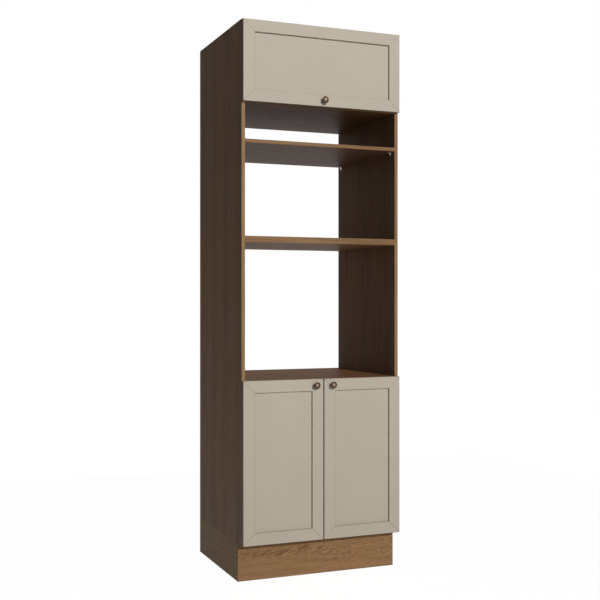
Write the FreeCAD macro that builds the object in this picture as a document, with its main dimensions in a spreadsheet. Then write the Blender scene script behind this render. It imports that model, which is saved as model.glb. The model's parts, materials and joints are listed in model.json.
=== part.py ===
import FreeCAD, Part
import math
import os
import types

import Sketcher

# Tall oven cabinet with a lift-up flap, two niches, a removable shelf and two hinged doors.
# Frame: X across the width, Y from front to back, Z up.
# Origin: the middle of the footprint, knobs included, on the floor.
# All lengths are millimetres.

sizes = {
    # Cabinet boards
    "cabinet_width": 700.0,
    "side_depth": 580.0,
    "board": 15.0,
    "microwave_board": 25.0,
    "back_board": 3.0,
    "back_lap": 7.0,
    "back_play": 0.3,
    # Heights of the spaces, from the plinth up
    "plinth_height": 150.0,
    "lower_unit_height": 664.0,
    "oven_niche_height": 555.0,
    "microwave_niche_height": 373.5,
    "top_slot_height": 144.5,
    "flap_unit_height": 333.0,
    # Plinth frame
    "plinth_setback": 46.0,
    # Loose shelves
    "niche_shelf_setback": 2.0,
    "shelf_side_play": 0.5,
    "inner_shelf_height": 318.0,
    "inner_shelf_setback": 90.0,
    # Doors and flap
    "door_board": 17.0,
    "door_gap": 2.0,
    "door_side_inset": 1.3,
    "door_pair_gap": 4.0,
    "door_bottom_inset": 5.0,
    "door_top_inset": 1.0,
    "flap_bottom_inset": 3.5,
    "flap_top_inset": 2.5,
    "frame_width": 49.0,
    "panel_recess": 9.0,
    "panel_board": 5.0,
    "panel_groove": 6.0,
    "panel_play": 0.5,
    "frame_outer_round": 1.2,
    "frame_inner_round": 2.0,
    # Knobs
    "knob_side_inset": 35.0,
    "knob_end_inset": 25.0,
    "knob_reach": 25.0,
    "knob_foot_radius": 8.0,
    "knob_foot_height": 1.6,
    "knob_neck_radius": 5.2,
    "knob_neck_height": 7.0,
    "knob_neck_curve": 9.0,
    "knob_flare_curve": 11.0,
    "knob_back_height": 16.4,
    "knob_back_radius": 12.4,
    "knob_rim_radius": 14.0,
    "knob_rim_height": 18.4,
    "knob_bevel_height": 20.8,
    "knob_bevel_radius": 10.8,
    "knob_step_radius": 9.4,
    "knob_step_height": 20.2,
    "knob_bead_radius": 8.6,
    "knob_dome_base": 21.0,
    "knob_dome_curve": 11.0,
    "knob_bore_depth": 9.0,
    "knob_screw_radius": 2.0,
    "knob_screw_play": 0.1,
    "knob_screw_grip": 8.5,
    "knob_screw_head_radius": 4.0,
    "knob_screw_head_height": 2.2,
    # Concealed hinges, measured in from the board's inner face and back from its front edge
    "hinge_end_inset": 100.0,
    "arm_pivot_in": 16.7,
    "arm_pivot_back": 2.5,
    "cup_pivot_out": 3.7,
    "cup_pivot_ahead": 7.7,
    "neck_outer_in": 2.3,
    "neck_outer_ahead": 10.7,
    "neck_inner_in": 14.3,
    "neck_inner_ahead": 10.6,
    "link_half_metal": 1.2,
    "link_eye_radius": 2.9,
    "link_width": 10.0,
    "hinge_pin_radius": 1.25,
    "pin_play": 0.05,
    "cup_centre_in": 7.8,
    "cup_radius": 17.5,
    "cup_wall": 1.0,
    "cup_depth": 11.5,
    "cup_play": 0.1,
    "cup_flange_metal": 1.0,
    "cup_rim_radius": 18.8,
    "cup_flange_out": 6.0,
    "cup_flange_in": 14.5,
    "cup_flange_half": 29.0,
    "cup_flange_corner_radius": 4.0,
    "cup_notch_out": 8.0,
    "cup_notch_half": 7.5,
    "cup_plug_in": 9.5,
    "cup_plug_half": 22.5,
    "cup_plug_radius": 4.0,
    "cup_plug_depth": 9.0,
    "cup_ear_half": 2.6,
    "cup_ear_inner": 6.5,
    "cup_ear_outer": 9.5,
    "cup_ear_rise": 2.2,
    "arm_channel_width": 10.6,
    "arm_metal": 2.0,
    "arm_eye_radius": 3.2,
    "arm_web_start": 4.2,
    "arm_length": 58.0,
    "arm_heel_start": 25.0,
    "plate_metal": 2.5,
    "plate_strip_half": 8.0,
    "plate_strip_start": 23.0,
    "plate_strip_end": 56.0,
    "plate_wing_half": 24.0,
    "plate_wing_width": 14.0,
    "plate_row": 37.0,
    "plate_pitch": 32.0,
    "plate_boss_half": 5.0,
    "plate_boss_start": 26.0,
    "plate_boss_end": 53.0,
    "plate_screw_radius": 2.5,
    "plate_screw_length": 11.0,
    "plate_screw_head_radius": 4.4,
    "plate_screw_sink": 1.6,
    "arm_screw_radius": 2.4,
    "arm_screw_length": 8.0,
    "arm_screw_head_radius": 3.8,
    "arm_screw_head_height": 1.8,
    # Flap struts, measured down from the top board and back from the front edges
    "strut_side_in": 14.0,
    "strut_seat_down": 60.0,
    "strut_seat_back": 190.0,
    "strut_flap_down": 70.0,
    "strut_flap_back": 16.0,
    "strut_eye_radius": 6.5,
    "strut_eye_width": 7.0,
    "strut_stud_radius": 3.5,
    "strut_head_radius": 5.0,
    "strut_head_width": 1.7,
    "strut_shoulder_radius": 6.0,
    "strut_side_play": 0.3,
    "strut_tube_radius": 7.5,
    "strut_tube_start": 10.0,
    "strut_tube_length": 140.0,
    "strut_tube_floor": 3.0,
    "strut_rod_radius": 3.0,
    "strut_rod_play": 0.08,
    "strut_rod_bottom": 1.5,
    "strut_ferrule_radius": 4.6,
    "strut_ferrule_length": 12.0,
    "strut_ferrule_overlap": 1.7,
    "strut_plate_metal": 2.5,
    "strut_plate_half_width": 12.0,
    "strut_plate_half_height": 20.0,
    "strut_foot_metal": 2.0,
    "strut_foot_width": 14.0,
    "strut_foot_half_height": 20.0,
    "strut_lug_metal": 2.5,
    "strut_lug_half_width": 7.0,
    "strut_lug_gap": 6.0,
    "strut_open_play": 0.4,
    # Cam connectors and dowels
    "cam_radius": 7.4,
    "cam_depth": 12.0,
    "cam_play": 0.1,
    "cam_inset": 24.0,
    "cam_axis_depth": 7.5,
    "cam_slot_half": 3.6,
    "cam_pocket_half": 4.6,
    "cam_cross_length": 7.0,
    "cam_cross_width": 1.6,
    "cam_cross_depth": 2.0,
    "cam_row_inset": 60.0,
    "bolt_thread_radius": 2.5,
    "bolt_thread_length": 9.0,
    "bolt_stem_radius": 3.0,
    "bolt_neck_radius": 2.0,
    "bolt_neck_length": 3.0,
    "bolt_head_radius": 3.3,
    "bolt_head_length": 3.0,
    "bolt_hole_radius": 4.0,
    "dowel_radius": 4.0,
    "dowel_length": 30.0,
    "dowel_in_side": 10.0,
    "dowel_play": 0.1,
    "dowel_pitch": 32.0,
    "plinth_dowel_low": 40.0,
    # Shelf supports
    "support_row_inset": 37.0,
    "support_back_inset": 32.0,
    "support_leg": 14.0,
    "support_metal": 1.8,
    "support_width": 12.0,
    "support_inner_radius": 5.0,
    "support_pin_radius": 2.5,
    "support_pin_length": 8.0,
    "support_pin_drop": 7.0,
    "support_pin_play": 0.1,
    # Wall brackets
    "bracket_half_spacing": 200.0,
    "bracket_half_width": 15.0,
    "bracket_metal": 2.0,
    "bracket_drop": 35.0,
    "bracket_reach": 30.0,
    "bracket_hole_radius": 3.0,
    "bracket_hole_drop": 22.0,
    "bracket_screw_reach": 18.0,
    "bracket_screw_radius": 2.0,
    "bracket_screw_length": 12.0,
    "bracket_screw_play": 0.1,
    "bracket_screw_head_radius": 3.8,
    "bracket_screw_head_height": 2.0,
    # Door bumpers
    "bumper_radius": 4.0,
    "bumper_play": 0.3,
    "bumper_middle_inset": 20.0,
    "bumper_side_inset": 18.0,
    "bumper_shelf_drop": 8.0,
    "bumper_floor_rise": 9.0,
    # One overrun serves every cut
    "overrun": 2.0,
}

doc = FreeCAD.newDocument("TallOvenCabinet")
sheet = doc.addObject("Spreadsheet::Sheet", "Sizes")
for row, (name, number) in enumerate(sizes.items(), start=1):
    sheet.set(f"A{row}", name)
    sheet.set(f"B{row}", str(number))
    sheet.setAlias(f"B{row}", name)
doc.recompute()


class Length:
    """A length in millimetres, with the expression over the sheet that gives it."""

    def __init__(self, value, text):
        self.value = value
        self.text = text

    def __add__(self, other):
        other = as_length(other)
        return Length(self.value + other.value, f"({self.text} + {other.text})")

    def __sub__(self, other):
        other = as_length(other)
        return Length(self.value - other.value, f"({self.text} - {other.text})")

    def __neg__(self):
        return Length(-self.value, f"(0 - {self.text})")

    def __mul__(self, other):
        other = as_length(other)
        return Length(self.value * other.value, f"({self.text} * {other.text})")

    def __truediv__(self, other):
        other = as_length(other)
        return Length(self.value / other.value, f"({self.text} / {other.text})")

    def root(self):
        return Length(math.sqrt(self.value), f"sqrt({self.text})")


def as_length(number):
    if isinstance(number, Length):
        return number
    return Length(number, str(number))


zero = Length(0.0, "0")
d = types.SimpleNamespace(**{name: Length(number, f"Sizes.{name}") for name, number in sizes.items()})

# Planes of a body: which way a pad grows and a pocket cuts when it isn't reversed
pad_sense = {"XY_Plane": 1, "XZ_Plane": -1, "YZ_Plane": 1}
plane_axis = {"XY_Plane": 2, "XZ_Plane": 1, "YZ_Plane": 0}
x_axis = FreeCAD.Vector(1, 0, 0)
y_axis = FreeCAD.Vector(0, 1, 0)
z_axis = FreeCAD.Vector(0, 0, 1)
upright = FreeCAD.Rotation()

pieces = []


def new_body(label):
    body = doc.addObject("PartDesign::Body", label)
    body.Label = label
    return body


def sketch_on(body, plane, place):
    """A sketch on one of the body's own origin planes, moved along that plane's axis to place."""
    sketch = body.newObject("Sketcher::SketchObject", "Sketch")
    support = [feature for feature in body.Origin.OriginFeatures if feature.Role == plane][0]
    sketch.AttachmentSupport = [(support, "")]
    sketch.MapMode = "FlatFace"
    offset = place if pad_sense[plane] > 0 else -place
    sketch.setExpression("AttachmentOffset.Base.z", offset.text)
    return sketch


def fix(sketch, geometry, point, place):
    """Ties one point of the sketch to its two lengths from the sketch's origin."""
    for kind, length in zip(("DistanceX", "DistanceY"), place):
        index = sketch.addConstraint(Sketcher.Constraint(kind, -1, 1, geometry, point, length.value))
        sketch.setExpression(f"Constraints[{index}]", length.text)


def set_radius(sketch, geometry, radius):
    index = sketch.addConstraint(Sketcher.Constraint("Radius", geometry, radius.value))
    sketch.setExpression(f"Constraints[{index}]", radius.text)


def draw_outline(sketch, corners):
    """A closed outline through the corners. A corner is (across, up), and an arc that leaves it
    adds its radius and the side that its centre lies on, 1 for left and -1 for right."""
    ends = []
    for index, corner in enumerate(corners):
        following = corners[(index + 1) % len(corners)]
        across, up, *arc = corner
        start = FreeCAD.Vector(across.value, up.value, 0)
        finish = FreeCAD.Vector(following[0].value, following[1].value, 0)
        if not arc:
            geometry = sketch.addGeometry(Part.LineSegment(start, finish), False)
            ends.append((geometry, 1, 2))
            continue
        radius, side = arc
        chord = finish - start
        left = FreeCAD.Vector(-chord.y, chord.x, 0).normalize()
        rise = math.sqrt(radius.value ** 2 - (chord.Length / 2) ** 2)
        centre = (start + finish) / 2 + left * (side * rise)
        first, last = (start, finish) if side > 0 else (finish, start)
        angles = [math.atan2(p.y - centre.y, p.x - centre.x) for p in (first, last)]
        if angles[1] < angles[0]:
            angles[1] += 2 * math.pi
        circle = Part.Circle(centre, z_axis, radius.value)
        geometry = sketch.addGeometry(Part.ArcOfCircle(circle, angles[0], angles[1]), False)
        ends.append((geometry, 1, 2) if side > 0 else (geometry, 2, 1))
    for index, corner in enumerate(corners):
        geometry, start_point, end_point = ends[index]
        next_geometry, next_start, next_end = ends[(index + 1) % len(corners)]
        meeting = Sketcher.Constraint("Coincident", geometry, end_point, next_geometry, next_start)
        sketch.addConstraint(meeting)
        across, up, *arc = corner
        fix(sketch, geometry, start_point, (across, up))
        if arc:
            set_radius(sketch, geometry, arc[0])


def draw_box(sketch, left, right, low, high):
    draw_outline(sketch, [(left, low), (right, low), (right, high), (left, high)])


def draw_circles(sketch, centres, radius):
    for across, up in centres:
        centre = FreeCAD.Vector(across.value, up.value, 0)
        geometry = sketch.addGeometry(Part.Circle(centre, z_axis, radius.value), False)
        set_radius(sketch, geometry, radius)
        fix(sketch, geometry, 3, (across, up))


def pad(body, plane, place, length, draw, towards=1):
    """Adds material from the plane at place, along the plane's axis the way towards says."""
    sketch = sketch_on(body, plane, place)
    draw(sketch)
    feature = body.newObject("PartDesign::Pad", "Pad")
    feature.Profile = sketch
    feature.setExpression("Length", length.text)
    feature.Reversed = towards != pad_sense[plane]
    doc.recompute()
    return body


def cut(body, plane, place, length, draw, towards=1):
    """Takes material away from the plane at place, and makes sure that some is gone."""
    before = body.Shape.Volume
    sketch = sketch_on(body, plane, place)
    draw(sketch)
    feature = body.newObject("PartDesign::Pocket", "Pocket")
    feature.Profile = sketch
    feature.setExpression("Length", length.text)
    feature.Reversed = towards == pad_sense[plane]
    doc.recompute()
    if not body.Shape.Volume < before:
        raise RuntimeError(f"a cut in {body.Label} takes nothing away")
    return body


def turn(body, corners, axis):
    """A turned solid: the outline in the XY plane goes round that plane's X or Y axis."""
    sketch = sketch_on(body, "XY_Plane", zero)
    draw_outline(sketch, corners)
    feature = body.newObject("PartDesign::Revolution", "Turned")
    feature.Profile = sketch
    feature.ReferenceAxis = (sketch, [axis])
    doc.recompute()
    return body


def round_edges(body, radius, near):
    """Rounds the straight edges whose middle satisfies near."""
    base = body.Tip
    names = []
    for index, edge in enumerate(body.Shape.Edges, start=1):
        middle = edge.valueAt((edge.FirstParameter + edge.LastParameter) / 2)
        if near(middle, edge):
            names.append(f"Edge{index}")
    if not names:
        raise RuntimeError(f"no edge to round in {body.Label}")
    feature = body.newObject("PartDesign::Fillet", "Round")
    feature.Base = (base, names)
    feature.setExpression("Radius", radius.text)
    doc.recompute()


def same(number, length):
    return math.isclose(number, length.value, abs_tol=Part.Precision.approximation())


def board(label, left, right, front, back, low, high):
    body = new_body(label)
    pad(body, "XY_Plane", low, high - low, lambda sketch: draw_box(sketch, left, right, front, back))
    pieces.append(body)
    return body


def group(label, copies):
    """One sub-part made of placed copies: each is (master, (x, y, z), rotation)."""
    links = []
    for master, place, rotation in copies:
        link = doc.addObject("App::Link", f"{label}_copy")
        link.LinkedObject = master
        link.Placement = FreeCAD.Placement(FreeCAD.Vector(), rotation)
        for axis, length in zip("xyz", place):
            link.setExpression(f"Placement.Base.{axis}", length.text)
        links.append(link)
    compound = doc.addObject("Part::Compound", label)
    compound.Label = label
    compound.Links = links
    doc.recompute()
    pieces.append(compound)
    return compound


# Main planes and levels

half_width = d.cabinet_width / 2
inner_half = half_width - d.board
front_y = (d.door_gap + d.door_board + d.knob_reach - d.side_depth) / 2
back_y = front_y + d.side_depth
board_back_y = back_y - d.back_board
door_back_y = front_y - d.door_gap
door_front_y = door_back_y - d.door_board
floor_top = d.plinth_height + d.board
oven_shelf_top = d.plinth_height + d.lower_unit_height
oven_shelf_under = oven_shelf_top - d.board
microwave_shelf_under = oven_shelf_top + d.oven_niche_height
microwave_shelf_top = microwave_shelf_under + d.microwave_board
niche_shelf_under = microwave_shelf_top + d.microwave_niche_height
niche_shelf_top = niche_shelf_under + d.board
flap_floor_under = niche_shelf_top + d.top_slot_height
flap_floor_top = flap_floor_under + d.board
cabinet_top = flap_floor_under + d.flap_unit_height
top_under = cabinet_top - d.board
inner_shelf_under = floor_top + d.inner_shelf_height

# Rows of fittings, from front to back
cam_front_y = front_y + d.cam_row_inset
cam_back_y = back_y - d.cam_row_inset
dowel_front_y = cam_front_y + d.dowel_pitch
dowel_back_y = cam_back_y - d.dowel_pitch
edge_dowel_ys = (dowel_front_y + d.dowel_pitch, dowel_back_y - d.dowel_pitch)
support_front_y = front_y + d.support_row_inset
support_back_y = back_y - d.support_back_inset
plate_y = front_y + d.plate_row

# The five boards between the sides: underside, top, the face that holds the cams, and the back edge
fixed_boards = {
    "cabinet_floor": (d.plinth_height, floor_top, "under", board_back_y),
    "oven_shelf": (oven_shelf_under, oven_shelf_top, "under", board_back_y),
    "microwave_shelf": (microwave_shelf_under, microwave_shelf_top, "top", back_y - d.niche_shelf_setback),
    "flap_compartment_floor": (flap_floor_under, flap_floor_top, "top", board_back_y),
    "top_panel": (top_under, cabinet_top, "under", board_back_y),
}


def joint_level(low, high, face):
    """Height of the dowels and cam bolts in a board."""
    if face == "top":
        return high - d.cam_axis_depth
    return low + d.cam_axis_depth


# Doors and flap: left, right, bottom, top, and the hinge rows along the hinged edge
door_outer = half_width - d.door_side_inset
door_inner = d.door_pair_gap / 2
door_low = d.plinth_height + d.door_bottom_inset
door_high = oven_shelf_top - d.door_top_inset
flap_low = flap_floor_under + d.flap_bottom_inset
flap_high = cabinet_top - d.flap_top_inset
door_hinge_rows = (door_low + d.hinge_end_inset, door_high - d.hinge_end_inset)
flap_hinge_rows = (-door_outer + d.hinge_end_inset, door_outer - d.hinge_end_inset)

# A hinge is modelled once: X in from the board's inner face, Y back from its front edge, Z along
# its pins. Turned about Y it hangs on the left side, the right side or under the top board.
left_turn = upright
right_turn = FreeCAD.Rotation(y_axis, 180)
top_turn = FreeCAD.Rotation(y_axis, 90)


def hinge_places(side, ahead):
    """Places and turn of the two hinges of a door or of the flap, ahead of the front edges."""
    if side == "left":
        return [((-inner_half, ahead, row), left_turn) for row in door_hinge_rows]
    if side == "right":
        return [((inner_half, ahead, row), right_turn) for row in door_hinge_rows]
    return [((row, ahead, top_under), top_turn) for row in flap_hinge_rows]


all_hinge_places = [place for side in ("left", "right", "top") for place in hinge_places(side, front_y)]

# Struts of the flap
strut_x = inner_half - d.strut_side_in
strut_seat_y = front_y + d.strut_seat_back
strut_seat_z = top_under - d.strut_seat_down
strut_flap_y = front_y + d.strut_flap_back
strut_flap_z = top_under - d.strut_flap_down
strut_run_y = strut_seat_y - strut_flap_y
strut_run_z = strut_flap_z - strut_seat_z
strut_length = (strut_run_y * strut_run_y + strut_run_z * strut_run_z).root()
strut_turn = FreeCAD.Rotation(x_axis, math.degrees(math.atan2(strut_run_y.value, strut_run_z.value)))

# Side panels, drilled for cam bolts, dowels, shelf supports and hinge plates, rebated at the back
for label, sense in (("left_side_panel", -1), ("right_side_panel", 1)):
    inner_face = inner_half * sense
    outer_face = half_width * sense
    left, right = (outer_face, inner_face) if sense < 0 else (inner_face, outer_face)
    side = board(label, left, right, front_y, back_y, d.plinth_height, cabinet_top)
    bolt_spots = []
    dowel_spots = []
    for low, high, face, back in fixed_boards.values():
        level = joint_level(low, high, face)
        bolt_spots += [(cam_front_y, level), (cam_back_y, level)]
        dowel_spots += [(dowel_front_y, level), (dowel_back_y, level)]
    cut(side, "YZ_Plane", inner_face, d.bolt_thread_length,
        lambda sketch: draw_circles(sketch, bolt_spots, d.bolt_thread_radius + d.dowel_play), sense)
    cut(side, "YZ_Plane", inner_face, d.dowel_in_side,
        lambda sketch: draw_circles(sketch, dowel_spots, d.dowel_radius + d.dowel_play), sense)
    support_spots = []
    for under in (niche_shelf_under, inner_shelf_under):
        level = under - d.support_pin_drop
        support_spots += [(support_front_y, level), (support_back_y, level)]
    cut(side, "YZ_Plane", inner_face, d.support_pin_length,
        lambda sketch: draw_circles(sketch, support_spots, d.support_pin_radius + d.support_pin_play), sense)
    plate_spots = []
    for row in door_hinge_rows:
        plate_spots += [(plate_y, row - d.plate_pitch / 2), (plate_y, row + d.plate_pitch / 2)]
    cut(side, "YZ_Plane", inner_face, d.plate_screw_length - d.plate_metal,
        lambda sketch: draw_circles(sketch, plate_spots, d.plate_screw_radius + d.dowel_play), sense)
    edge_spots = [(outer_face - d.board * sense / 2, y) for y in edge_dowel_ys]
    cut(side, "XY_Plane", d.plinth_height, d.dowel_length / 2,
        lambda sketch: draw_circles(sketch, edge_spots, d.dowel_radius + d.dowel_play))
    lap_left, lap_right = inner_face - d.overrun * sense, inner_face + d.back_lap * sense
    if sense < 0:
        lap_left, lap_right = lap_right, lap_left

    def draw_rebates(sketch):
        draw_box(sketch, lap_left, lap_right, d.plinth_height - d.overrun, oven_shelf_top)
        draw_box(sketch, lap_left, lap_right, flap_floor_under, cabinet_top + d.overrun)

    cut(side, "XZ_Plane", back_y, d.back_board, draw_rebates, -1)

# Boards between the sides, with cam pockets near each end and bolt and dowel holes in the ends
for label, (low, high, face, back) in fixed_boards.items():
    shelf = board(label, -inner_half, inner_half, front_y, back, low, high)
    cam_x = inner_half - d.cam_inset
    cam_spots = [(x, y) for x in (-cam_x, cam_x) for y in (cam_front_y, cam_back_y)]
    cam_face, cam_way = (high, -1) if face == "top" else (low, 1)
    cut(shelf, "XY_Plane", cam_face, d.cam_depth,
        lambda sketch: draw_circles(sketch, cam_spots, d.cam_radius + d.cam_play), cam_way)
    level = joint_level(low, high, face)
    bolt_spots = [(y, level) for y in (cam_front_y, cam_back_y)]
    dowel_spots = [(y, level) for y in (dowel_front_y, dowel_back_y)]
    for end, way in ((-inner_half, 1), (inner_half, -1)):
        cut(shelf, "YZ_Plane", end, d.cam_inset - d.cam_radius / 2,
            lambda sketch: draw_circles(sketch, bolt_spots, d.bolt_hole_radius), way)
        cut(shelf, "YZ_Plane", end, d.dowel_length - d.dowel_in_side,
            lambda sketch: draw_circles(sketch, dowel_spots, d.dowel_radius + d.dowel_play), way)
    if label == "top_panel":
        screw_y = board_back_y - d.bracket_screw_reach
        spots = [(-d.bracket_half_spacing, screw_y), (d.bracket_half_spacing, screw_y)]
        cut(shelf, "XY_Plane", low, d.bracket_screw_length - d.bracket_metal,
            lambda sketch: draw_circles(sketch, spots, d.bracket_screw_radius + d.bracket_screw_play), 1)
        for row in flap_hinge_rows:
            spots = [(row - d.plate_pitch / 2, plate_y), (row + d.plate_pitch / 2, plate_y)]
            cut(shelf, "XY_Plane", low, d.plate_screw_length - d.plate_metal,
                lambda sketch: draw_circles(sketch, spots, d.plate_screw_radius + d.dowel_play), 1)

# Thin backs, let into the rebates behind the flap compartment and the lower cupboard
back_half = inner_half + d.back_lap - d.back_play
upper_back = board("upper_back_panel", -back_half, back_half, board_back_y, back_y,
                   flap_floor_under + d.back_play, cabinet_top - d.back_play)
bracket_hole_z = top_under - d.bracket_hole_drop
wall_spots = [(-d.bracket_half_spacing, bracket_hole_z), (d.bracket_half_spacing, bracket_hole_z)]
cut(upper_back, "XZ_Plane", board_back_y, d.back_board,
    lambda sketch: draw_circles(sketch, wall_spots, d.bracket_hole_radius), 1)
board("lower_back_panel", -back_half, back_half, board_back_y, back_y,
      d.plinth_height + d.back_play, oven_shelf_top - d.back_play)

# Plinth: a front board over the full width, two sides behind it and a back board between them
plinth_front_y = front_y + d.plinth_setback
plinth_side_y = plinth_front_y + d.board
plinth_back_y = back_y - d.board
plinth_levels = (d.plinth_dowel_low, d.plinth_height - d.plinth_dowel_low)
plinth_front = board("plinth_front", -half_width, half_width, plinth_front_y, plinth_side_y,
                     zero, d.plinth_height)
plinth_middle = half_width - d.board / 2
front_spots = [(x, z) for x in (-plinth_middle, plinth_middle) for z in plinth_levels]
cut(plinth_front, "XZ_Plane", plinth_side_y, d.dowel_in_side,
    lambda sketch: draw_circles(sketch, front_spots, d.dowel_radius + d.dowel_play), -1)
plinth_back_middle = back_y - d.board / 2
for label, sense in (("plinth_left", -1), ("plinth_right", 1)):
    inner_face = inner_half * sense
    outer_face = half_width * sense
    left, right = (outer_face, inner_face) if sense < 0 else (inner_face, outer_face)
    side = board(label, left, right, plinth_side_y, back_y, zero, d.plinth_height)
    end_spots = [(plinth_middle * sense, z) for z in plinth_levels]
    cut(side, "XZ_Plane", plinth_side_y, d.dowel_length - d.dowel_in_side,
        lambda sketch: draw_circles(sketch, end_spots, d.dowel_radius + d.dowel_play), 1)
    inner_spots = [(plinth_back_middle, z) for z in plinth_levels]
    cut(side, "YZ_Plane", inner_face, d.dowel_in_side,
        lambda sketch: draw_circles(sketch, inner_spots, d.dowel_radius + d.dowel_play), sense)
    edge_spots = [(plinth_middle * sense, y) for y in edge_dowel_ys]
    cut(side, "XY_Plane", d.plinth_height, d.dowel_length / 2,
        lambda sketch: draw_circles(sketch, edge_spots, d.dowel_radius + d.dowel_play), -1)
plinth_back = board("plinth_back", -inner_half, inner_half, plinth_back_y, back_y, zero, d.plinth_height)
for end, way in ((-inner_half, 1), (inner_half, -1)):
    inner_spots = [(plinth_back_middle, z) for z in plinth_levels]
    cut(plinth_back, "YZ_Plane", end, d.dowel_length - d.dowel_in_side,
        lambda sketch: draw_circles(sketch, inner_spots, d.dowel_radius + d.dowel_play), way)

# Loose shelves, lying on their supports
shelf_half = inner_half - d.shelf_side_play
board("niche_shelf", -shelf_half, shelf_half, front_y, back_y - d.niche_shelf_setback,
      niche_shelf_under, niche_shelf_top)
board("inner_shelf", -shelf_half, shelf_half, front_y + d.inner_shelf_setback, board_back_y - d.back_play,
      inner_shelf_under, inner_shelf_under + d.board)

# Cam connectors: a slotted drum let into the board, and the bolt from the side panel that it grips
cam_master = new_body("cam_master")
pad(cam_master, "XY_Plane", -d.cam_depth, d.cam_depth,
    lambda sketch: draw_circles(sketch, [(zero, zero)], d.cam_radius))
slot_low = -(d.cam_axis_depth + d.cam_slot_half)
slot_high = -(d.cam_axis_depth - d.cam_slot_half)
cut(cam_master, "XZ_Plane", -d.cam_slot_half, d.cam_slot_half * 2,
    lambda sketch: draw_box(sketch, zero, d.cam_radius + d.overrun, slot_low, slot_high), 1)
cut(cam_master, "XZ_Plane", -d.cam_pocket_half, d.cam_pocket_half * 2,
    lambda sketch: draw_box(sketch, -d.cam_slot_half, d.cam_slot_half, slot_low, slot_high), 1)
cross_half = d.cam_cross_length / 2
cross_side = d.cam_cross_width / 2
cut(cam_master, "XY_Plane", zero, d.cam_cross_depth,
    lambda sketch: draw_box(sketch, -cross_half, cross_half, -cross_side, cross_side), -1)
cut(cam_master, "XY_Plane", zero, d.cam_cross_depth,
    lambda sketch: draw_box(sketch, -cross_side, cross_side, -cross_half, cross_half), -1)

bolt_master = new_body("cam_bolt_master")
head_start = d.cam_inset - d.bolt_head_length / 2
neck_start = head_start - d.bolt_neck_length
turn(bolt_master, [
    (d.bolt_thread_length, zero),
    (d.bolt_thread_length, d.bolt_thread_radius),
    (zero, d.bolt_thread_radius),
    (zero, d.bolt_stem_radius),
    (-neck_start, d.bolt_stem_radius),
    (-neck_start, d.bolt_neck_radius),
    (-head_start, d.bolt_neck_radius),
    (-head_start, d.bolt_head_radius),
    (-head_start - d.bolt_head_length, d.bolt_head_radius),
    (-head_start - d.bolt_head_length, zero),
], "H_Axis")

dowel_master = new_body("dowel_master")
pad(dowel_master, "YZ_Plane", d.dowel_in_side - d.dowel_length, d.dowel_length,
    lambda sketch: draw_circles(sketch, [(zero, zero)], d.dowel_radius))

flipped = FreeCAD.Rotation(x_axis, 180)
half_turn = FreeCAD.Rotation(z_axis, 180)
cams = []
bolts = []
dowels = []
for low, high, face, back in fixed_boards.values():
    level = joint_level(low, high, face)
    cam_x = inner_half - d.cam_inset
    for y in (cam_front_y, cam_back_y):
        if face == "top":
            cams += [(cam_master, (-cam_x, y, high), half_turn), (cam_master, (cam_x, y, high), upright)]
        else:
            cams += [(cam_master, (-cam_x, y, low), right_turn), (cam_master, (cam_x, y, low), flipped)]
        bolts += [(bolt_master, (-inner_half, y, level), half_turn)]
        bolts += [(bolt_master, (inner_half, y, level), upright)]
    for y in (dowel_front_y, dowel_back_y):
        dowels += [(dowel_master, (-inner_half, y, level), half_turn)]
        dowels += [(dowel_master, (inner_half, y, level), upright)]
for z in plinth_levels:
    dowels += [(dowel_master, (-inner_half, plinth_back_middle, z), half_turn)]
    dowels += [(dowel_master, (inner_half, plinth_back_middle, z), upright)]
    for x in (-plinth_middle, plinth_middle):
        dowels += [(dowel_master, (x, plinth_side_y, z), FreeCAD.Rotation(z_axis, -90))]
for x in (-plinth_middle, plinth_middle):
    for y in edge_dowel_ys:
        rise = d.dowel_length / 2 - d.dowel_in_side
        dowels += [(dowel_master, (x, y, d.plinth_height + rise), FreeCAD.Rotation(y_axis, -90))]
group("cam_locks", cams)
group("cam_bolts", bolts)
group("wooden_dowels", dowels)

# Shelf supports: a bent angle with a pin into the side panel
support_master = new_body("support_master")
support_half = d.support_width / 2
pad(support_master, "XZ_Plane", -support_half, d.support_width,
    lambda sketch: draw_outline(sketch, [
        (zero, -d.support_leg),
        (d.support_metal, -d.support_leg),
        (d.support_metal, -d.support_metal - d.support_inner_radius, d.support_inner_radius, -1),
        (d.support_metal + d.support_inner_radius, -d.support_metal),
        (d.support_leg, -d.support_metal),
        (d.support_leg, zero),
        (zero, zero),
    ]), 1)
pad(support_master, "YZ_Plane", zero, d.support_pin_length,
    lambda sketch: draw_circles(sketch, [(zero, -d.support_pin_drop)], d.support_pin_radius), -1)
supported = {"niche_shelf_supports": niche_shelf_under, "inner_shelf_supports": inner_shelf_under}
for label, under in supported.items():
    copies = []
    for y in (support_front_y, support_back_y):
        copies += [(support_master, (-inner_half, y, under), upright)]
        copies += [(support_master, (inner_half, y, under), half_turn)]
    group(label, copies)

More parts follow.
